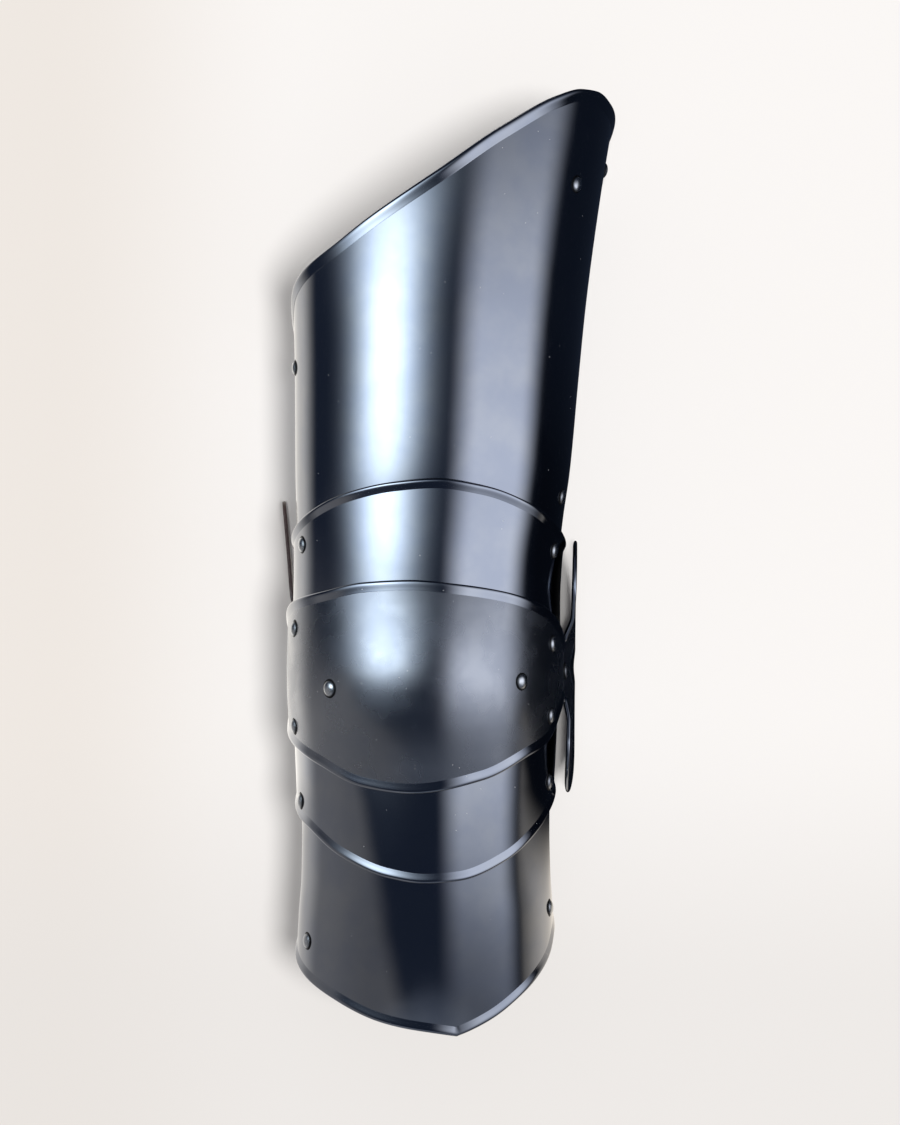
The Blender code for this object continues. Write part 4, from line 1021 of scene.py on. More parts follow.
# %% Places of the rivets, as (angle, y) on a plate
STRAP_GAP, LEATHER, FOLD_LEATHER = 0.6, 2.2, 1.6
BURR_GAP, KNEE_BURR_GAP, PIVOT_GAP, KNEE_STRAP_GAP, KNEE_RIVET_LIFT = 0.6, 0.3, 1.0, 1.6, 0.9
PIVOTS = (
    ("upper_lame", UPPER_LAME, THIGH, (156.2, 75.8), (23.4, 72.4)),
    ("cop", COP, UPPER_LAME, (158.7, 28.0), (25.7, 19.6)),
    ("cop", COP, LOWER_LAME, (160.0, -27.4), (25.7, -21.0)),
    ("lower_lame", LOWER_LAME, GREAVE, (162.4, -70.6), (18.7, -59.6)))
SINGLE_RIVETS = (
    ("thigh", THIGH, (-4.0, 294.0)), ("thigh", THIGH, (34.9, 278.8)),
    ("cop", COP, (131.1, -4.3)), ("cop", COP, (47.5, -0.5)))
STRAPS = (
    ("upper_thigh", "thigh", THIGH, (172.0, 178.0), (-12.0, 178.0), 24.0),
    ("lower_thigh", "thigh", THIGH, (193.0, 103.0), (17.0, 103.3), 24.0),
    ("calf", "greave", GREAVE, (155.0, -150.0), (14.0, -132.5), 18.0))
KNEE_STRAP_AT, KNEE_BUCKLE_Y, KNEE_RIVET_REACH, KNEE_WIDTH = (200.0, 1.0), 2.0, 25.0, 18.0


def on_plate(sections, spot):
    angle, y = spot
    return shell_points(sections, y, angle), shell_normals(sections, y, angle)


print("pivot pairs:", len(PIVOTS), "- straps across the back:", len(STRAPS))

# %% Marking the places
places = {body: [] for body in frame["bodies"]}   # (point, facing, grip) of every rivet
for body, sections, under, inner, outer in PIVOTS:
    for spot in (inner, outer):
        point, facing = on_plate(sections, spot)
        below, below_facing = on_plate(under, spot)
        grip = (point - below) @ facing + STEEL + PIVOT_GAP
        places[body].append((point, unit(facing + below_facing), grip))
for body, sections, spot in SINGLE_RIVETS:
    places[body].append((*on_plate(sections, spot), STEEL + BURR_GAP))
for _, body, sections, inner, outer, _ in STRAPS:
    places[body].append((*on_plate(sections, inner), STEEL + STRAP_GAP + LEATHER + BURR_GAP))
    places[body].append((*on_plate(sections, outer), STEEL + STRAP_GAP + FOLD_LEATHER + BURR_GAP))
places["cop"].append((*on_plate(COP, KNEE_STRAP_AT), STEEL + KNEE_STRAP_GAP + LEATHER + KNEE_BURR_GAP))

reach, turn = KNEE_RIVET_REACH, math.degrees(math.asin((KNEE_BUCKLE_Y - FAN_Y) / KNEE_RIVET_REACH))
skin = wing_points(reach, turn)   # the wing's own rivet, which holds the knee's buckle strap
facing = unit(np.cross(wing_points(reach, turn + 4.0) - wing_points(reach, turn - 4.0),
                       wing_points(reach - 2.0, turn) - wing_points(reach + 2.0, turn)))
hanging_x = wing_points(FAN_ROOT, 0.0)[0] - STEEL - 2 * STRAP_GAP - FOLD_LEATHER / 2
grip = skin[0] - hanging_x + FOLD_LEATHER / 2 + 1.5 * KNEE_RIVET_LIFT
places["cop"].append((skin + facing * KNEE_RIVET_LIFT / 2, facing, grip))
print("rivets:", {body: len(spots) for body, spots in places.items()})

# %% Setting the rivets
slots = {row["node"]: row["material_slot"] for row in frame["record"]["subparts"]}
for body, nodes in frame["record"]["behaviour"]["bodies"].items():
    points, facings, grips = (np.array(column) for column in zip(*places[body]))
    rivets = carried(body + "_rivets", points, facings, grip=grips * MM)
    grown(rivets, riveting, sharp=40.0, rivet=one_rivet, material=rivet_steel)
    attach(rivets, body)
    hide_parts(*[name for name in nodes if slots[name] == "rivet_steel"])
    print(body, "rivets:", len(rivets.data.polygons), "faces")
bpy.data.objects.remove(one_rivet)

# %% [markdown]
# ## Straps
#
# A strap is a strip cut from hide about 2 mm thick. Its edges are burnished round and a
# creaser has drawn a line inside each of them. The outline of that section is carried
# along the strap's path directly, because the path bends in two planes, and the free end
# narrows to a round tip. Holes are punched afterwards by a Geometry Nodes tree.

# %% Lines that a strap follows
UNDER_END, FLAT_START, STRAP_TIP = 207.0, -42.0, 52.0   # an angle, and two places across the back
RIVET_MARGIN = 7.0   # degrees that a strap runs on past its rivet
BAR, BAR_GAP, FOLD_GAP, PINCH = 1.2, 0.25, 0.2, 0.3
BUCKLE_REACH, BUCKLE_X, HINGE_Z, FAR_Z = 17.0, 20.0, 6.3, 3.3
STRAP_SPAN = 140.0   # between the rivets of a strap, across the open back
TURN_ROWS = 22       # rows over which a strap turns level
LEVEL = np.array([0.0, 1.0, 0.0])


def at(x, z):
    return np.array([x, 0.0, z])


def bezier(start, start_handle, end_handle, end, steps=22):
    t = np.linspace(0, 1, steps + 1)[1:, None]
    return (start * (1 - t) ** 3 + start_handle * 3 * t * (1 - t) ** 2
            + end_handle * 3 * t * t * (1 - t) + end * t ** 3)


def ramp(x_start, z_start, x_end, z_end, steps=12):
    """A soft step of a strap from one height to another."""
    t = np.linspace(0, 1, steps + 1)[1:]
    return np.stack([x_start + (x_end - x_start) * t, 0 * t,
                     z_start + (z_end - z_start) * smoothstep(t)], axis=-1)


def under_plate(sections, y, first, last, thickness):
    """Leather lying against the inside of a plate: its centre line and its direction across."""
    angles = np.linspace(first, last, round(abs(last - first) / 1.2) + 1)
    lift = -(STEEL + STRAP_GAP + thickness / 2)
    return shell_points(sections, y, angles, lift), shell_rise(sections, y, angles, 9.0)


def off_plate(lying, flat, pull, land):
    """The bend of a strap that leaves its plate and comes down flat."""
    corner = at(lying[-1, 0], lying[-1, 2])
    leave = unit(lying[-1] - lying[-2])
    return bezier(corner, corner + leave * pull, flat + at(land, 0.0), flat)


def level_out(sides, total):
    """Directions across a strap that turn level past the plate it lies against."""
    share = np.minimum(np.arange(1, total - len(sides) + 1) / TURN_ROWS, 1.0)[:, None]
    return np.concatenate([sides, unit(sides[-1] * (1 - share) + LEVEL * share)])


def slanted(path, y_inner, y_outer):
    """The same path with y shifted evenly from the inner to the outer side."""
    path = np.array(path)
    path[:, 1] = (y_inner + y_outer) / 2 + (y_outer - y_inner) / STRAP_SPAN * path[:, 0]
    return path


def strap_path(sections, y, start_angle):
    """From the inner side's rivet, flat over the open back, through the buckle to its tip."""
    rest = LEATHER / 2
    over_bar = FAR_Z + BAR + BAR_GAP + rest
    far_x = BUCKLE_X - BUCKLE_REACH
    climb, top_start, top_end, drop = far_x - 11.0, far_x - 2.5, far_x + 1.5, far_x + 12.0
    lying, sides = under_plate(sections, y, start_angle, UNDER_END, LEATHER)
    path = np.concatenate([
        lying, off_plate(lying, at(FLAT_START, rest), 9.0, -10.0), [at(climb, rest)],
        ramp(climb, rest, top_start, over_bar), [at(top_end, over_bar)],
        ramp(top_end, over_bar, drop, rest), [at(STRAP_TIP, rest)]])
    return path, level_out(sides, len(path))


def fold_path(lead, hinge, end_x):
    """A buckle strap: its lead-in, round the buckle's hinge bar and back under itself."""
    radius = BAR + FOLD_GAP + FOLD_LEATHER / 2
    low = hinge[2] - radius
    turn = np.radians(np.linspace(90, 270, 19))[1:]
    bend = hinge + radius * np.stack([np.cos(turn), 0 * turn, np.sin(turn)], axis=-1)
    rise = ramp(hinge[0] + 10.0, low + FOLD_LEATHER + PINCH, hinge[0] + 1.5, hinge[2] + radius)
    return np.concatenate([lead, rise, [hinge + at(0.0, radius)], bend, [at(end_x, low)]])


print("a strap's buckle is", BUCKLE_REACH, "mm long")

# %% [markdown]
# ## Punching
#
# A punch goes straight through, so the tree sets a cutter on each marked point and takes
# it away from the strap. A round cutter makes a rivet's or a prong's hole, and a stretched
# one the slot at a buckle's bar.

# %% The punching tree


def turned_to(tree, up, ahead):
    """The turn that stands a shape on a surface and points it along a line."""
    return node(tree, "FunctionNodeAxesToRotation", {"Primary Axis": up, "Secondary Axis": ahead},
                primary_axis="Z", secondary_axis="X").outputs[0]


punching, given, put = new_tree(
    "Punch holes", "GeometryNodeTree",
    [("Strap", "Geometry"), ("Holes", "Object"), ("Depth", "Float", 0.01), ("Sides", "Int", 20),
     ("Material", "Material")],
    [("Mesh", "Geometry")])
marks = node(punching, "GeometryNodeObjectInfo", {"Object": given["Holes"]}).outputs["Geometry"]
cutter = node(punching, "GeometryNodeMeshCylinder",
              {"Vertices": given["Sides"], "Radius": 1.0, "Depth": given["Depth"]}).outputs["Mesh"]
turn = turned_to(punching, attribute(punching, "facing", "FLOAT_VECTOR"),
                 attribute(punching, "along", "FLOAT_VECTOR"))
cutters = node(punching, "GeometryNodeInstanceOnPoints",
               {"Points": marks, "Instance": cutter, "Rotation": turn,
                "Scale": attribute(punching, "size", "FLOAT_VECTOR")}).outputs[0]
punched = node(punching, "GeometryNodeMeshBoolean", {"Mesh 1": given["Strap"], "Mesh 2": cutters},
               operation="DIFFERENCE", solver="EXACT").outputs[0]
finish_tree(punching, punched, given["Material"], put["Mesh"])

# %% Cutting a strap
CREASE_DEPTH = 0.16
TIP_SHARE, CUT_ROUNDING, END_THICKNESS = 0.42, 0.8, 0.75
RIVET_HOLE, PRONG_HOLE = (2.0, 2.0), (1.4, 1.4)   # half length and half width
BAR_SLOT, HINGE_SLOT = (3.5, 1.7), (5.0, 1.8)


def strap_outline(thickness):
    """Section of a strap as rows of (side, inset from that side's edge, height, worn)."""
    top = thickness / 2
    right = [(1, 2.9, top, 0), (1, 2.55, top - CREASE_DEPTH, 0), (1, 2.2, top, 0), (1, 0.6, top, 0.3),
             (1, 0.22, top - 0.13, 1), (1, 0.0, top - 0.5, 1),
             (1, 0.0, 0.5 - top, 1), (1, 0.22, 0.13 - top, 1), (1, 0.6, -top, 0.2)]
    left = [(-side, inset, height, worn) for side, inset, height, worn in reversed(right)]
    return np.array(right + left)


def along_path(path, sides, distances):
    """Points and directions of a path at given distances along it."""
    total = lengths_along(path)
    points = np.stack([np.interp(distances, total, path[:, i]) for i in range(3)], axis=-1)
    across = np.stack([np.interp(distances, total, sides[:, i]) for i in range(3)], axis=-1)
    return points, unit(across)


def punch_marks(name, path, sides, holes):
    """Points for the punching tree; a hole is (distance from the start, (half length, half width))."""
    marks, across = along_path(path, sides, [distance for distance, _ in holes])
    ahead = unit(along_path(path, sides, [distance + 1.0 for distance, _ in holes])[0] - marks)
    size = [(long * MM, wide * MM, 1.0) for _, (long, wide) in holes]
    return carried(name + "_holes", marks, unit(np.cross(ahead, across)), along=ahead, size=size)


def leather_strap(name, body, path, sides, thickness, width, holes, tip=True):
    """A strap along its centre line, with a round tip or a straight cut at its end."""
    length = lengths_along(path)[-1]
    round_end = width * TIP_SHARE if tip else CUT_ROUNDING
    ends = 1 - np.cos(np.linspace(0, np.pi / 2, 14))
    distances = np.concatenate([[0.0, 0.3, 0.8], np.linspace(1.6, length - round_end, int(length / 1.5)),
                                length - round_end * ends[-2::-1]])
    points, across = along_path(path, sides, distances)
    normal = unit(np.cross(unit(np.gradient(points, axis=0)), across))
    left = (length - distances) / round_end
    half = width / 2 * (quarter_round(left, 0.01) if tip else np.ones(len(left)))
    thick = np.clip(END_THICKNESS + 0.35 * np.minimum(distances, length - distances), 0.0, 1.0)
    side, inset, height, rubbed = strap_outline(thickness).T
    reach = side * (half[:, None] - np.minimum(inset, TIP_SHARE * half[:, None]))
    rows = (points[:, None] + across[:, None] * reach[..., None]
            + normal[:, None] * (height * thick[:, None])[..., None])
    count, around = rows.shape[:2]
    index = np.arange(count * around).reshape(count, around)
    beside = np.roll(index, -1, axis=1)
    walls = np.stack([index[:-1], beside[:-1], beside[1:], index[1:]], axis=-1).reshape(-1, 4).tolist()
    caps = [index[0].tolist(), index[-1][::-1].tolist()]
    strap = new_piece(name + "_leather", rows.reshape(-1, 3), walls + caps, [leather],
                      np.tile(rubbed, count), sharp=40.0)
    marks = punch_marks(name, path, sides, holes)
    grown(strap, punching, sharp=40.0, holes=marks, material=leather)
    bpy.data.objects.remove(marks)
    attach(strap, body)
    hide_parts(name)
    print(name, "is", round(length), "mm long,", len(strap.data.polygons), "faces")


# %% Straps across the open back
PRONG, FOLD_LENGTH = 2.4, 17.0
BACK_HOLES, TIP_HOLES = (-23.0, -9.0, 26.0, 38.0), (17.0, 27.0, 37.0, 47.0)
SLOT_PAST_BAR, LEAD_END = 7.5, -25.0


def nearest(path, place):
    """Distance along a path of its point nearest to a place."""
    return lengths_along(path)[np.linalg.norm(path - place, axis=1).argmin()]


def crossing(path, x):
    """Distance along a path to where it crosses an x."""
    return lengths_along(path)[np.abs(path[:, 0] - x).argmin()]


def over_hinge(fold, hinge):
    """Distance along a buckle strap to its top over the hinge bar."""
    return lengths_along(fold)[(fold[:, 2] - 3.0 * np.abs(fold[:, 0] - hinge[0])).argmax()]


folds = []   # (name, body, hinge, far, tip, y, tail end x, width, flip) of every buckle
for name, body, sections, inner, outer, width in STRAPS:
    hinge, far = at(BUCKLE_X, HINGE_Z), at(BUCKLE_X - BUCKLE_REACH, FAR_Z)
    path, sides = strap_path(sections, inner[1], inner[0] - RIVET_MARGIN)
    path = slanted(path, inner[1], outer[1])
    holes = [(nearest(path, on_plate(sections, inner)[0]), RIVET_HOLE),
             (crossing(path, far[0] + SLOT_PAST_BAR), BAR_SLOT)]
    holes += [(crossing(path, x), PRONG_HOLE) for x in BACK_HOLES]
    leather_strap(name + "_strap", body, path, sides, LEATHER, width, holes)

    lead, sides = under_plate(sections, outer[1], outer[0] + RIVET_MARGIN, LEAD_END, FOLD_LEATHER)
    lead = np.concatenate([lead, off_plate(lead, hinge + at(24.0, -PINCH), 14.0, 12.0)])
    fold = slanted(fold_path(lead, hinge, hinge[0] + FOLD_LENGTH), inner[1], outer[1])
    holes = [(nearest(fold, on_plate(sections, outer)[0]), RIVET_HOLE), (over_hinge(fold, hinge), HINGE_SLOT)]
    leather_strap(name + "_buckle_strap", body, fold, level_out(sides, len(fold)), FOLD_LEATHER, width,
                  holes, tip=False)
    y = slanted([(hinge + far) / 2], inner[1], outer[1])[0, 1]
    folds.append((name, body, hinge, far, at(far[0] - 2.0, 0.9), y, hinge[0] + FOLD_LENGTH, width, 1.0))

# %% The knee strap and its buckle strap
KNEE_FOLD = 15.0
x, _, z = shell_points(COP, KNEE_STRAP_AT[1], KNEE_STRAP_AT[0], -(STEEL + KNEE_STRAP_GAP + LEATHER / 2))
ROUTE = table(
    "y x z lean",
    (-8.0, x, z, 20.0), (12.0, x, z, 20.0), (27.0, x, z - 3.0, 19.0), (35.0, -75.0, 17.5, 10.0),
    (46.0, -78.8, 14.5, 3.0), (72.0, -81.8, 11.4, -2.0), (102.0, -84.6, 10.6, -3.2))
y = np.linspace(ROUTE["y"][0], ROUTE["y"][-1], 90)
x, z, lean = (smooth(y, ROUTE["y"], ROUTE[name]) for name in ("x", "z", "lean"))
path, lean = np.stack([x, y, z], axis=-1), np.radians(lean)
sides = np.stack([np.sin(lean), 0 * lean, -np.cos(lean)], axis=-1)
holes = [(nearest(path, on_plate(COP, KNEE_STRAP_AT)[0]), RIVET_HOLE)]
holes += [(lengths_along(path)[-1] - back, PRONG_HOLE) for back in TIP_HOLES]
leather_strap("knee_strap", "cop", path, sides, LEATHER, KNEE_WIDTH, holes)

hinge = at(52.0, BAR + FOLD_GAP + FOLD_LEATHER + PINCH)
far = at(hinge[0] - BUCKLE_REACH, BAR + PINCH)
level = hinge + at(16.0, -PINCH)
lead = np.stack([np.full(16, hanging_x), np.zeros(16), np.linspace(36.0, 18.0, 16)], axis=-1)
lead = np.concatenate([lead, bezier(lead[-1], lead[-1] - at(0.0, 9.0), level + at(6.0, 0.0), level)])
fold = fold_path(lead, hinge, hinge[0] + KNEE_FOLD) + LEVEL * KNEE_BUCKLE_Y
leather_strap("knee_buckle_strap", "cop", fold, np.tile(LEVEL, (len(fold), 1)), FOLD_LEATHER, KNEE_WIDTH,
              [(nearest(fold, skin), RIVET_HOLE), (over_hinge(fold, hinge), HINGE_SLOT)], tip=False)
tip = at(far[0] - 1.5, far[2] + BAR + PINCH + PRONG / 4)
folds.append(("knee", "cop", hinge, far, tip, KNEE_BUCKLE_Y, hinge[0] + KNEE_FOLD, KNEE_WIDTH, -1.0))

# %% [markdown]
# ## Buckles
#
# Each buckle is a bent iron frame with a flat prong hooked round its near bar. The tree
# that swept the rims sweeps these too: round for the frame, flat for the prong.

# %% Frames and prongs
FRAME_CORNERS, FRAME_MARGIN, PRONG_HALF_THICK = (1.6, 4.2), 3.5, 0.43
RING_POINTS, SHANK_POINTS = 32, 16


def rounded_loop(length, half, corners, steps=8):
    """Rounded rectangle of (along, across) from the hinge bar at 0 to the far bar."""
    near, away = corners
    quarter = np.linspace(0, np.pi / 2, steps)
    points = []
    for number, (centre_x, centre_y, radius) in enumerate((
            (length - away, half - away, away), (near, half - near, near),
            (near, near - half, near), (length - away, away - half, away))):
        turn = quarter + number * np.pi / 2
        points += zip(centre_x + radius * np.cos(turn), centre_y + radius * np.sin(turn))
    return np.array(points)


def ironwork(name, solid, body, points, facings, edges, swell, half_width, half_height):
    line = carried(name, points, facings, edges, swell=swell)
    iron = grown(line, sweep, half_width=half_width * MM, half_height=half_height * MM,
                 section=oval_section, worn=0.6, material=buckle_iron)
    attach(iron, body)
    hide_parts(solid)


for name, body, hinge, far, tip, y, tail_end, width, flip in folds:
    side = unit(far - hinge)
    up = unit(np.cross(side, LEVEL)) * flip
    loop = rounded_loop(np.linalg.norm(far - hinge), width / 2 + FRAME_MARGIN, FRAME_CORNERS)
    points = hinge + side * loop[:, :1] + LEVEL * (y + loop[:, 1:])
    count = len(points)
    ironwork(name + "_frame", name + "_buckle", body, points, np.tile(up, (count, 1)),
             chain(0, count - 1, closed=True), np.ones(count), BAR, BAR)

    turn = np.linspace(0, 2 * np.pi, RING_POINTS + 1)[:-1]
    radial = np.stack([np.cos(turn), 0 * turn, np.sin(turn)], axis=-1)
    ring = hinge + LEVEL * y + radial * (BAR + BAR_GAP + PRONG_HALF_THICK)
    reach = unit(tip - hinge)
    start = hinge + LEVEL * y + reach * (BAR + BAR_GAP + 0.5)
    shares = np.linspace(0, 1, SHANK_POINTS)
    shank = start + (tip + LEVEL * y - start) * shares[:, None]
    facings = np.concatenate([radial, np.tile(np.cross(reach, LEVEL), (SHANK_POINTS, 1))])
    swell = np.concatenate([np.ones(RING_POINTS), 1.05 - 0.3 * shares])
    swell[-1] *= 0.6
    edges = chain(0, RING_POINTS - 1, closed=True) + chain(RING_POINTS, RING_POINTS + SHANK_POINTS - 1)
    ironwork(name + "_prong", name + "_tongue", body, np.concatenate([ring, shank]), facings, edges,
             swell, PRONG / 2, PRONG_HALF_THICK)
bpy.data.objects.remove(oval_section)
print("buckles:", [row[0] for row in folds])

# %% [markdown]
# ## Stitches
#
# The buckle straps are folded round their bars and sewn to themselves. The stitches repeat
# along a U-shaped line, so a tree lays them out: it walks the line at an even pitch and
# sinks a short round thread into the leather at each step.

# %% The sewing tree
sewing, given, put = new_tree(
    "Stitches along a line", "GeometryNodeTree",
    [("Line", "Geometry"), ("Pitch", "Float", 0.0027), ("Thread", "Float", 0.00034),
     ("Material", "Material")],
    [("Mesh", "Geometry")])
steps = node(sewing, "GeometryNodeCurveToPoints",
             {"Curve": curve_with_facing(sewing, given["Line"]), "Length": given["Pitch"]},
             mode="LENGTH").outputs
turn = turned_to(sewing, steps["Normal"], steps["Tangent"])
thread = node(sewing, "GeometryNodeMeshUVSphere", {"Segments": 10, "Rings": 8, "Radius": 1.0}).outputs["Mesh"]
size = node(sewing, "ShaderNodeCombineXYZ",
            {0: times(sewing, given["Pitch"], 0.40), 1: given["Thread"], 2: given["Thread"]}).outputs[0]
laid = node(sewing, "GeometryNodeInstanceOnPoints",
            {"Points": steps["Points"], "Instance": thread, "Rotation": turn, "Scale": size}).outputs[0]
finish_tree(sewing, laid, given["Material"], put["Mesh"])
print("trees:", [tree.name for tree in (sweep, riveting, punching, sewing)])

# %% Sewing the folds
STITCH_INSET, STITCH_START, STITCH_END = 2.55, 8.5, 1.8
SUNK_TOP, SUNK_BOTTOM = 0.05, 0.02
waxed_thread, tree, shader, place = new_material("waxed_thread", Metallic=0.0, Roughness=0.6)
tree.links.new(blend_colors(tree, noise(tree, place, 900.0), (0.10, 0.075, 0.05), (0.17, 0.13, 0.09)),
               shader.inputs["Base Color"])
slopes = {name: (outer[1] - inner[1]) / STRAP_SPAN for name, _, _, inner, outer, _ in STRAPS}
for name, body, hinge, far, tip, y, tail_end, width, flip in folds:
    slope = slopes.get(name, 0.0)
    middle = y - slope * (hinge[0] + far[0]) / 2
    start, end, edge = hinge[0] + STITCH_START, tail_end - STITCH_END, width / 2 - STITCH_INSET
    u_line = np.array([(x, middle + slope * x + across, 0.0) for x, across in
                       ((start, edge), (end, edge), (end, -edge), (start, -edge))])
    low = hinge[2] - (BAR + FOLD_GAP + FOLD_LEATHER / 2)
    top = low + FOLD_LEATHER + PINCH + FOLD_LEATHER / 2 + SUNK_TOP
    bottom = low - FOLD_LEATHER / 2 - SUNK_BOTTOM
    lines = np.concatenate([u_line + at(0.0, top), u_line + at(0.0, bottom)])
    facings = np.repeat([(0.0, 0.0, 1.0), (0.0, 0.0, -1.0)], 4, axis=0)
    stitches = carried(name + "_stitches", lines, facings, chain(0, 3) + chain(4, 7))
    grown(stitches, sewing, material=waxed_thread)
    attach(stitches, body)
print("stitched:", [row[0] for row in folds])

# %% [markdown]
# ## Studio
#
# Polished steel shows the room more than itself, so the room is built for it as it would
# be for silverware. The leg lies in a light tent, a half tube of cloth 0.6 m from it. One
# panel of the tent glows up on the inner side and gives the hard streak. A wider, dimmer
# one on the outer side gives the calm band. The cloth between them stays dark, and so does
# most of the table. The tent only shows in polished surfaces. A soft sun does the plain
# work of lighting the floor.

# %% Camera
CAMERA_PLACE = (0.0023, -0.0015, 1.75)
camera_data = bpy.data.cameras.new("camera")
camera_data.sensor_width = 36.0
camera_data.lens = 93.8
camera = in_scene("camera", camera_data)
camera.location = CAMERA_PLACE
bpy.context.scene.camera = camera
bpy.context.scene.view_settings.view_transform = "Standard"
print("camera is", CAMERA_PLACE[2], "m above the floor, looking straight down")

# %% Floor
FLOOR_HALF = 12.0
PAPER, PAPER_SHADED_INNER_SIDE, PAPER_SHADED_FOOT = (0.78, 0.757, 0.735), (0.70, 0.657, 0.612), (0.64, 0.615, 0.59)
corners = [(x * FLOOR_HALF, y * FLOOR_HALF, 0.0) for x, y in ((-1, -1), (1, -1), (1, 1), (-1, 1))]
floor_mesh = bpy.data.meshes.new("floor")
floor_mesh.from_pydata(corners, [], [(0, 1, 2, 3)])
floor = in_scene("floor", floor_mesh)
pale_floor, tree, shader, place = new_material("pale_floor", Roughness=0.8, Specular_IOR_Level=0.1)
x, y, _ = node(tree, "ShaderNodeSeparateXYZ", {0: place}).outputs
# Painted shade: the floor's colour darkens towards the leg's inner side and towards the foot, as if the light
# fell off there.
paper = blend_colors(tree, spread(tree, x, -0.08, -0.24), PAPER, PAPER_SHADED_INNER_SIDE)
paper = blend_colors(tree, spread(tree, y, -0.08, -0.27, 0.0, 0.62), paper, PAPER_SHADED_FOOT)
tree.links.new(paper, shader.inputs["Base Color"])
floor_mesh.materials.append(pale_floor)
print("floor:", 2 * FLOOR_HALF, "m wide")

# %% Light on the floor
for name, power, degrees_wide, shines in (("soft_sun", 2.35, 16.0, (-0.24, 0.06, -1.0)),
                                          ("overhead_fill", 1.0, 4.0, (0.0, 0.02, -1.0))):
    lamp = bpy.data.lights.new(name, "SUN")
    lamp.energy = power
    lamp.angle = math.radians(degrees_wide)
    sun = in_scene(name, lamp)
    sun.rotation_mode = "QUATERNION"
    sun.rotation_quaternion = Vector(shines).to_track_quat("-Z", "Y")
    sun.visible_glossy = False
    print(name, "shines", power)

ROOM_SEEN, ROOM_MIRRORED, ROOM_LIGHT = (0.84, 0.82, 0.79), (0.010, 0.014, 0.022), (0.20, 0.20, 0.21)
world = bpy.data.worlds.new("studio")
world.use_nodes = True
bpy.context.scene.world = world
tree = world.node_tree
rays = node(tree, "ShaderNodeLightPath").outputs
seen = blend_colors(tree, rays["Is Camera Ray"], ROOM_MIRRORED, ROOM_SEEN)
lit = blend_colors(tree, rays["Is Diffuse Ray"], seen, ROOM_LIGHT)
tree.links.new(lit, tree.nodes["Background"].inputs["Color"])

# %% The light tent
TENT_RADIUS, TENT_MIDDLE, TENT_HALF = 0.6, 0.048, 2.0   # its middle line runs through the leg
TABLE_GAP = 0.0006
turn = np.radians(np.linspace(-94.5, 94.5, 64))
ring = np.stack([TENT_RADIUS * np.sin(turn), 0 * turn, TENT_MIDDLE + TENT_RADIUS * np.cos(turn)], axis=-1)
ring = np.concatenate([[(-0.02, 0.0, TABLE_GAP)], ring, [(0.02, 0.0, TABLE_GAP)]])
count = len(ring)
tent_mesh = bpy.data.meshes.new("light_tent")
tent_mesh.from_pydata(np.concatenate([ring - (0, TENT_HALF, 0), ring + (0, TENT_HALF, 0)]).tolist(), [],
                      [(i, j, j + count, i + count) for i, j in chain(0, count - 1)]
                      + [(count - 1, 0, count, 2 * count - 1)])
tent = in_scene("light_tent", tent_mesh)
for ray in ("camera", "diffuse", "transmission", "volume_scatter", "shadow"):
    setattr(tent, "visible_" + ray, False)
print("light tent:", TENT_RADIUS, "m from the leg")

# %% Soft panels
tent_cloth, tree, shader, place = new_material("tent_cloth")
tree.nodes.remove(shader)
x, y, z = node(tree, "ShaderNodeSeparateXYZ", {0: place}).outputs
turned_by = math_node(tree, "DEGREES", math_node(tree, "ARCTAN2", x, minus(tree, z, TENT_MIDDLE)))


def hump(tree, value, middle, width):
    """1 in a panel's middle, falling like a bell."""
    away = math_node(tree, "DIVIDE", minus(tree, value, middle), width)
    return math_node(tree, "EXPONENT", times(tree, away, away, -0.5))


def between(tree, value, *stops):
    """1 between the second and third stop, falling smoothly to 0 at the first and last."""
    return times(tree, spread(tree, value, stops[0], stops[1]),
                 spread(tree, value, stops[2], stops[3], 1.0, 0.0))


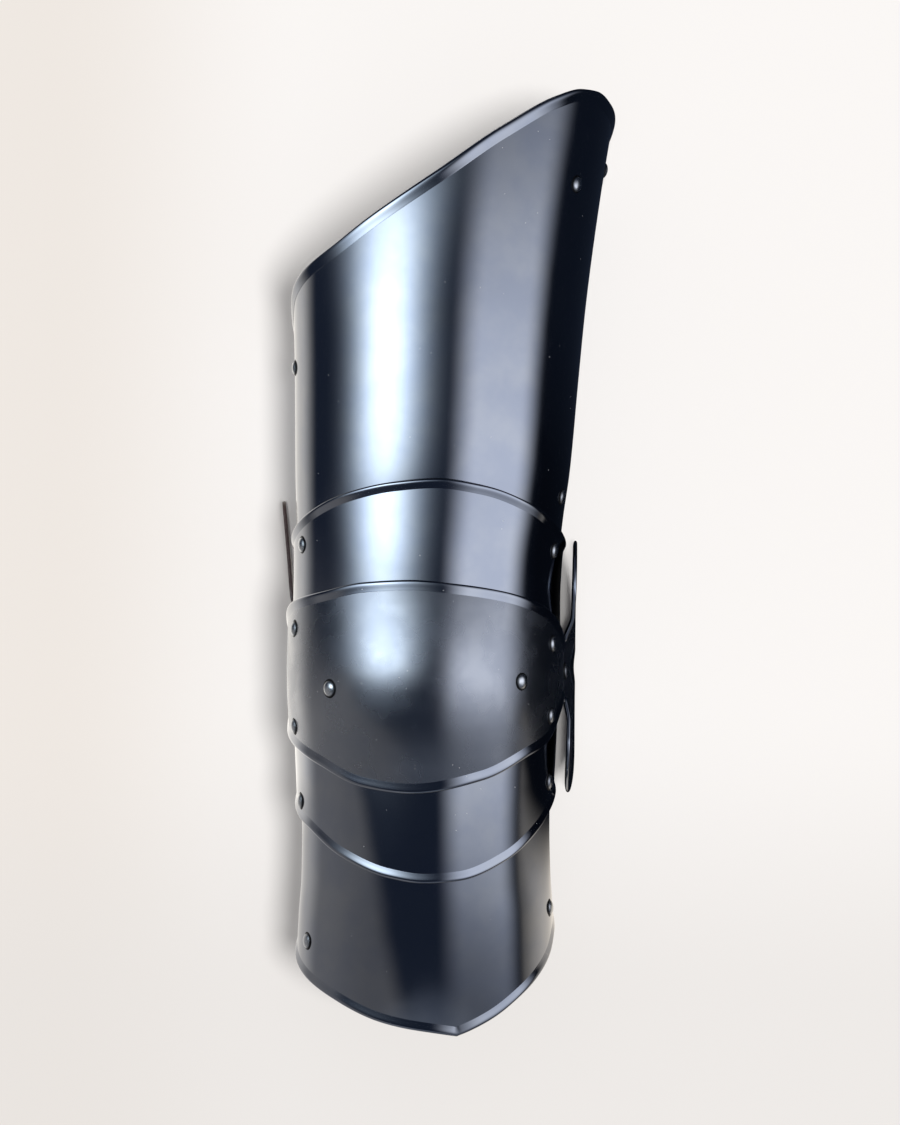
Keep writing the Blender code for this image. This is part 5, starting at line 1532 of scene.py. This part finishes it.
# The streak is a strip on the inner side that broadens towards the hip.
broadness = spread(tree, y, 0.12, 0.32, 15.5, 20.5)
lit_length = plus(tree, between(tree, y, -0.12, 0.09, 0.14, 0.39),
                  times(tree, hump(tree, y, -0.03, 0.09), 0.06))
streak = times(tree, hump(tree, turned_by, -38.0, broadness), lit_length, 5.8)
# The band is the broad panel on the outer side.
band = times(tree, between(tree, turned_by, 8.0, 34.0, 68.0, 93.0), hump(tree, y, -0.03, 0.20), 2.05)
# Grey cloth hangs on the inner side of the foot, behind an edge that runs slantwise.
edge = spread(tree, y, -0.16, -0.50, -64.0, -16.0, smooth_ends=False)
grey = times(tree, spread(tree, minus(tree, turned_by, edge), 9.0, -9.0), spread(tree, y, 0.04, -0.16),
             spread(tree, turned_by, -104.0, -40.0, 0.36, 0.21))
# A glow past the foot lights the greave's rim.
foot = times(tree, hump(tree, turned_by, 0.0, 40.0), spread(tree, y, -0.445, -0.495), 0.26)
# The tent glows pale along the table at both sides, a painted reflection of the table in the sides of the
# plates.
inner_table_glow = times(tree, spread(tree, turned_by, -99.0, -108.0),
                    spread(tree, turned_by, -112.0, -150.0, 1.05, 0.42),
                    spread(tree, y, -0.12, -0.17, 1.0, 0.4))
outer_table_glow = times(tree, spread(tree, turned_by, 86.0, 110.0), spread(tree, y, -0.15, -0.21))

# %% The tent's cloth
DARK_CLOTH = (0.030, 0.042, 0.072)
darkness = math_node(tree, "MAXIMUM", spread(tree, turned_by, 70.0, 100.0, 1.0, 0.2),
                     spread(tree, y, 0.0, 0.15, 0.2, 0.5))
light = scaled(tree, DARK_CLOTH, darkness)
for panel, tint in ((streak, (0.88, 1.0, 1.09)), (band, (0.97, 1.0, 1.08)), (grey, (1.06, 1.0, 0.92)),
                    (foot, (0.92, 1.0, 1.12)), (inner_table_glow, (1.06, 1.0, 0.90)),
                    (outer_table_glow, (1.10, 1.0, 0.87))):
    light = added(tree, light, scaled(tree, tint, panel))
glowing = node(tree, "ShaderNodeEmission", {"Color": light, "Strength": 1.0}).outputs[0]
tree.links.new(glowing, tree.nodes["Material Output"].inputs["Surface"])
tent_cloth.cycles.emission_sampling = "NONE"
tent_mesh.materials.append(tent_cloth)
print("the tent's cloth has", len(tree.nodes), "nodes")
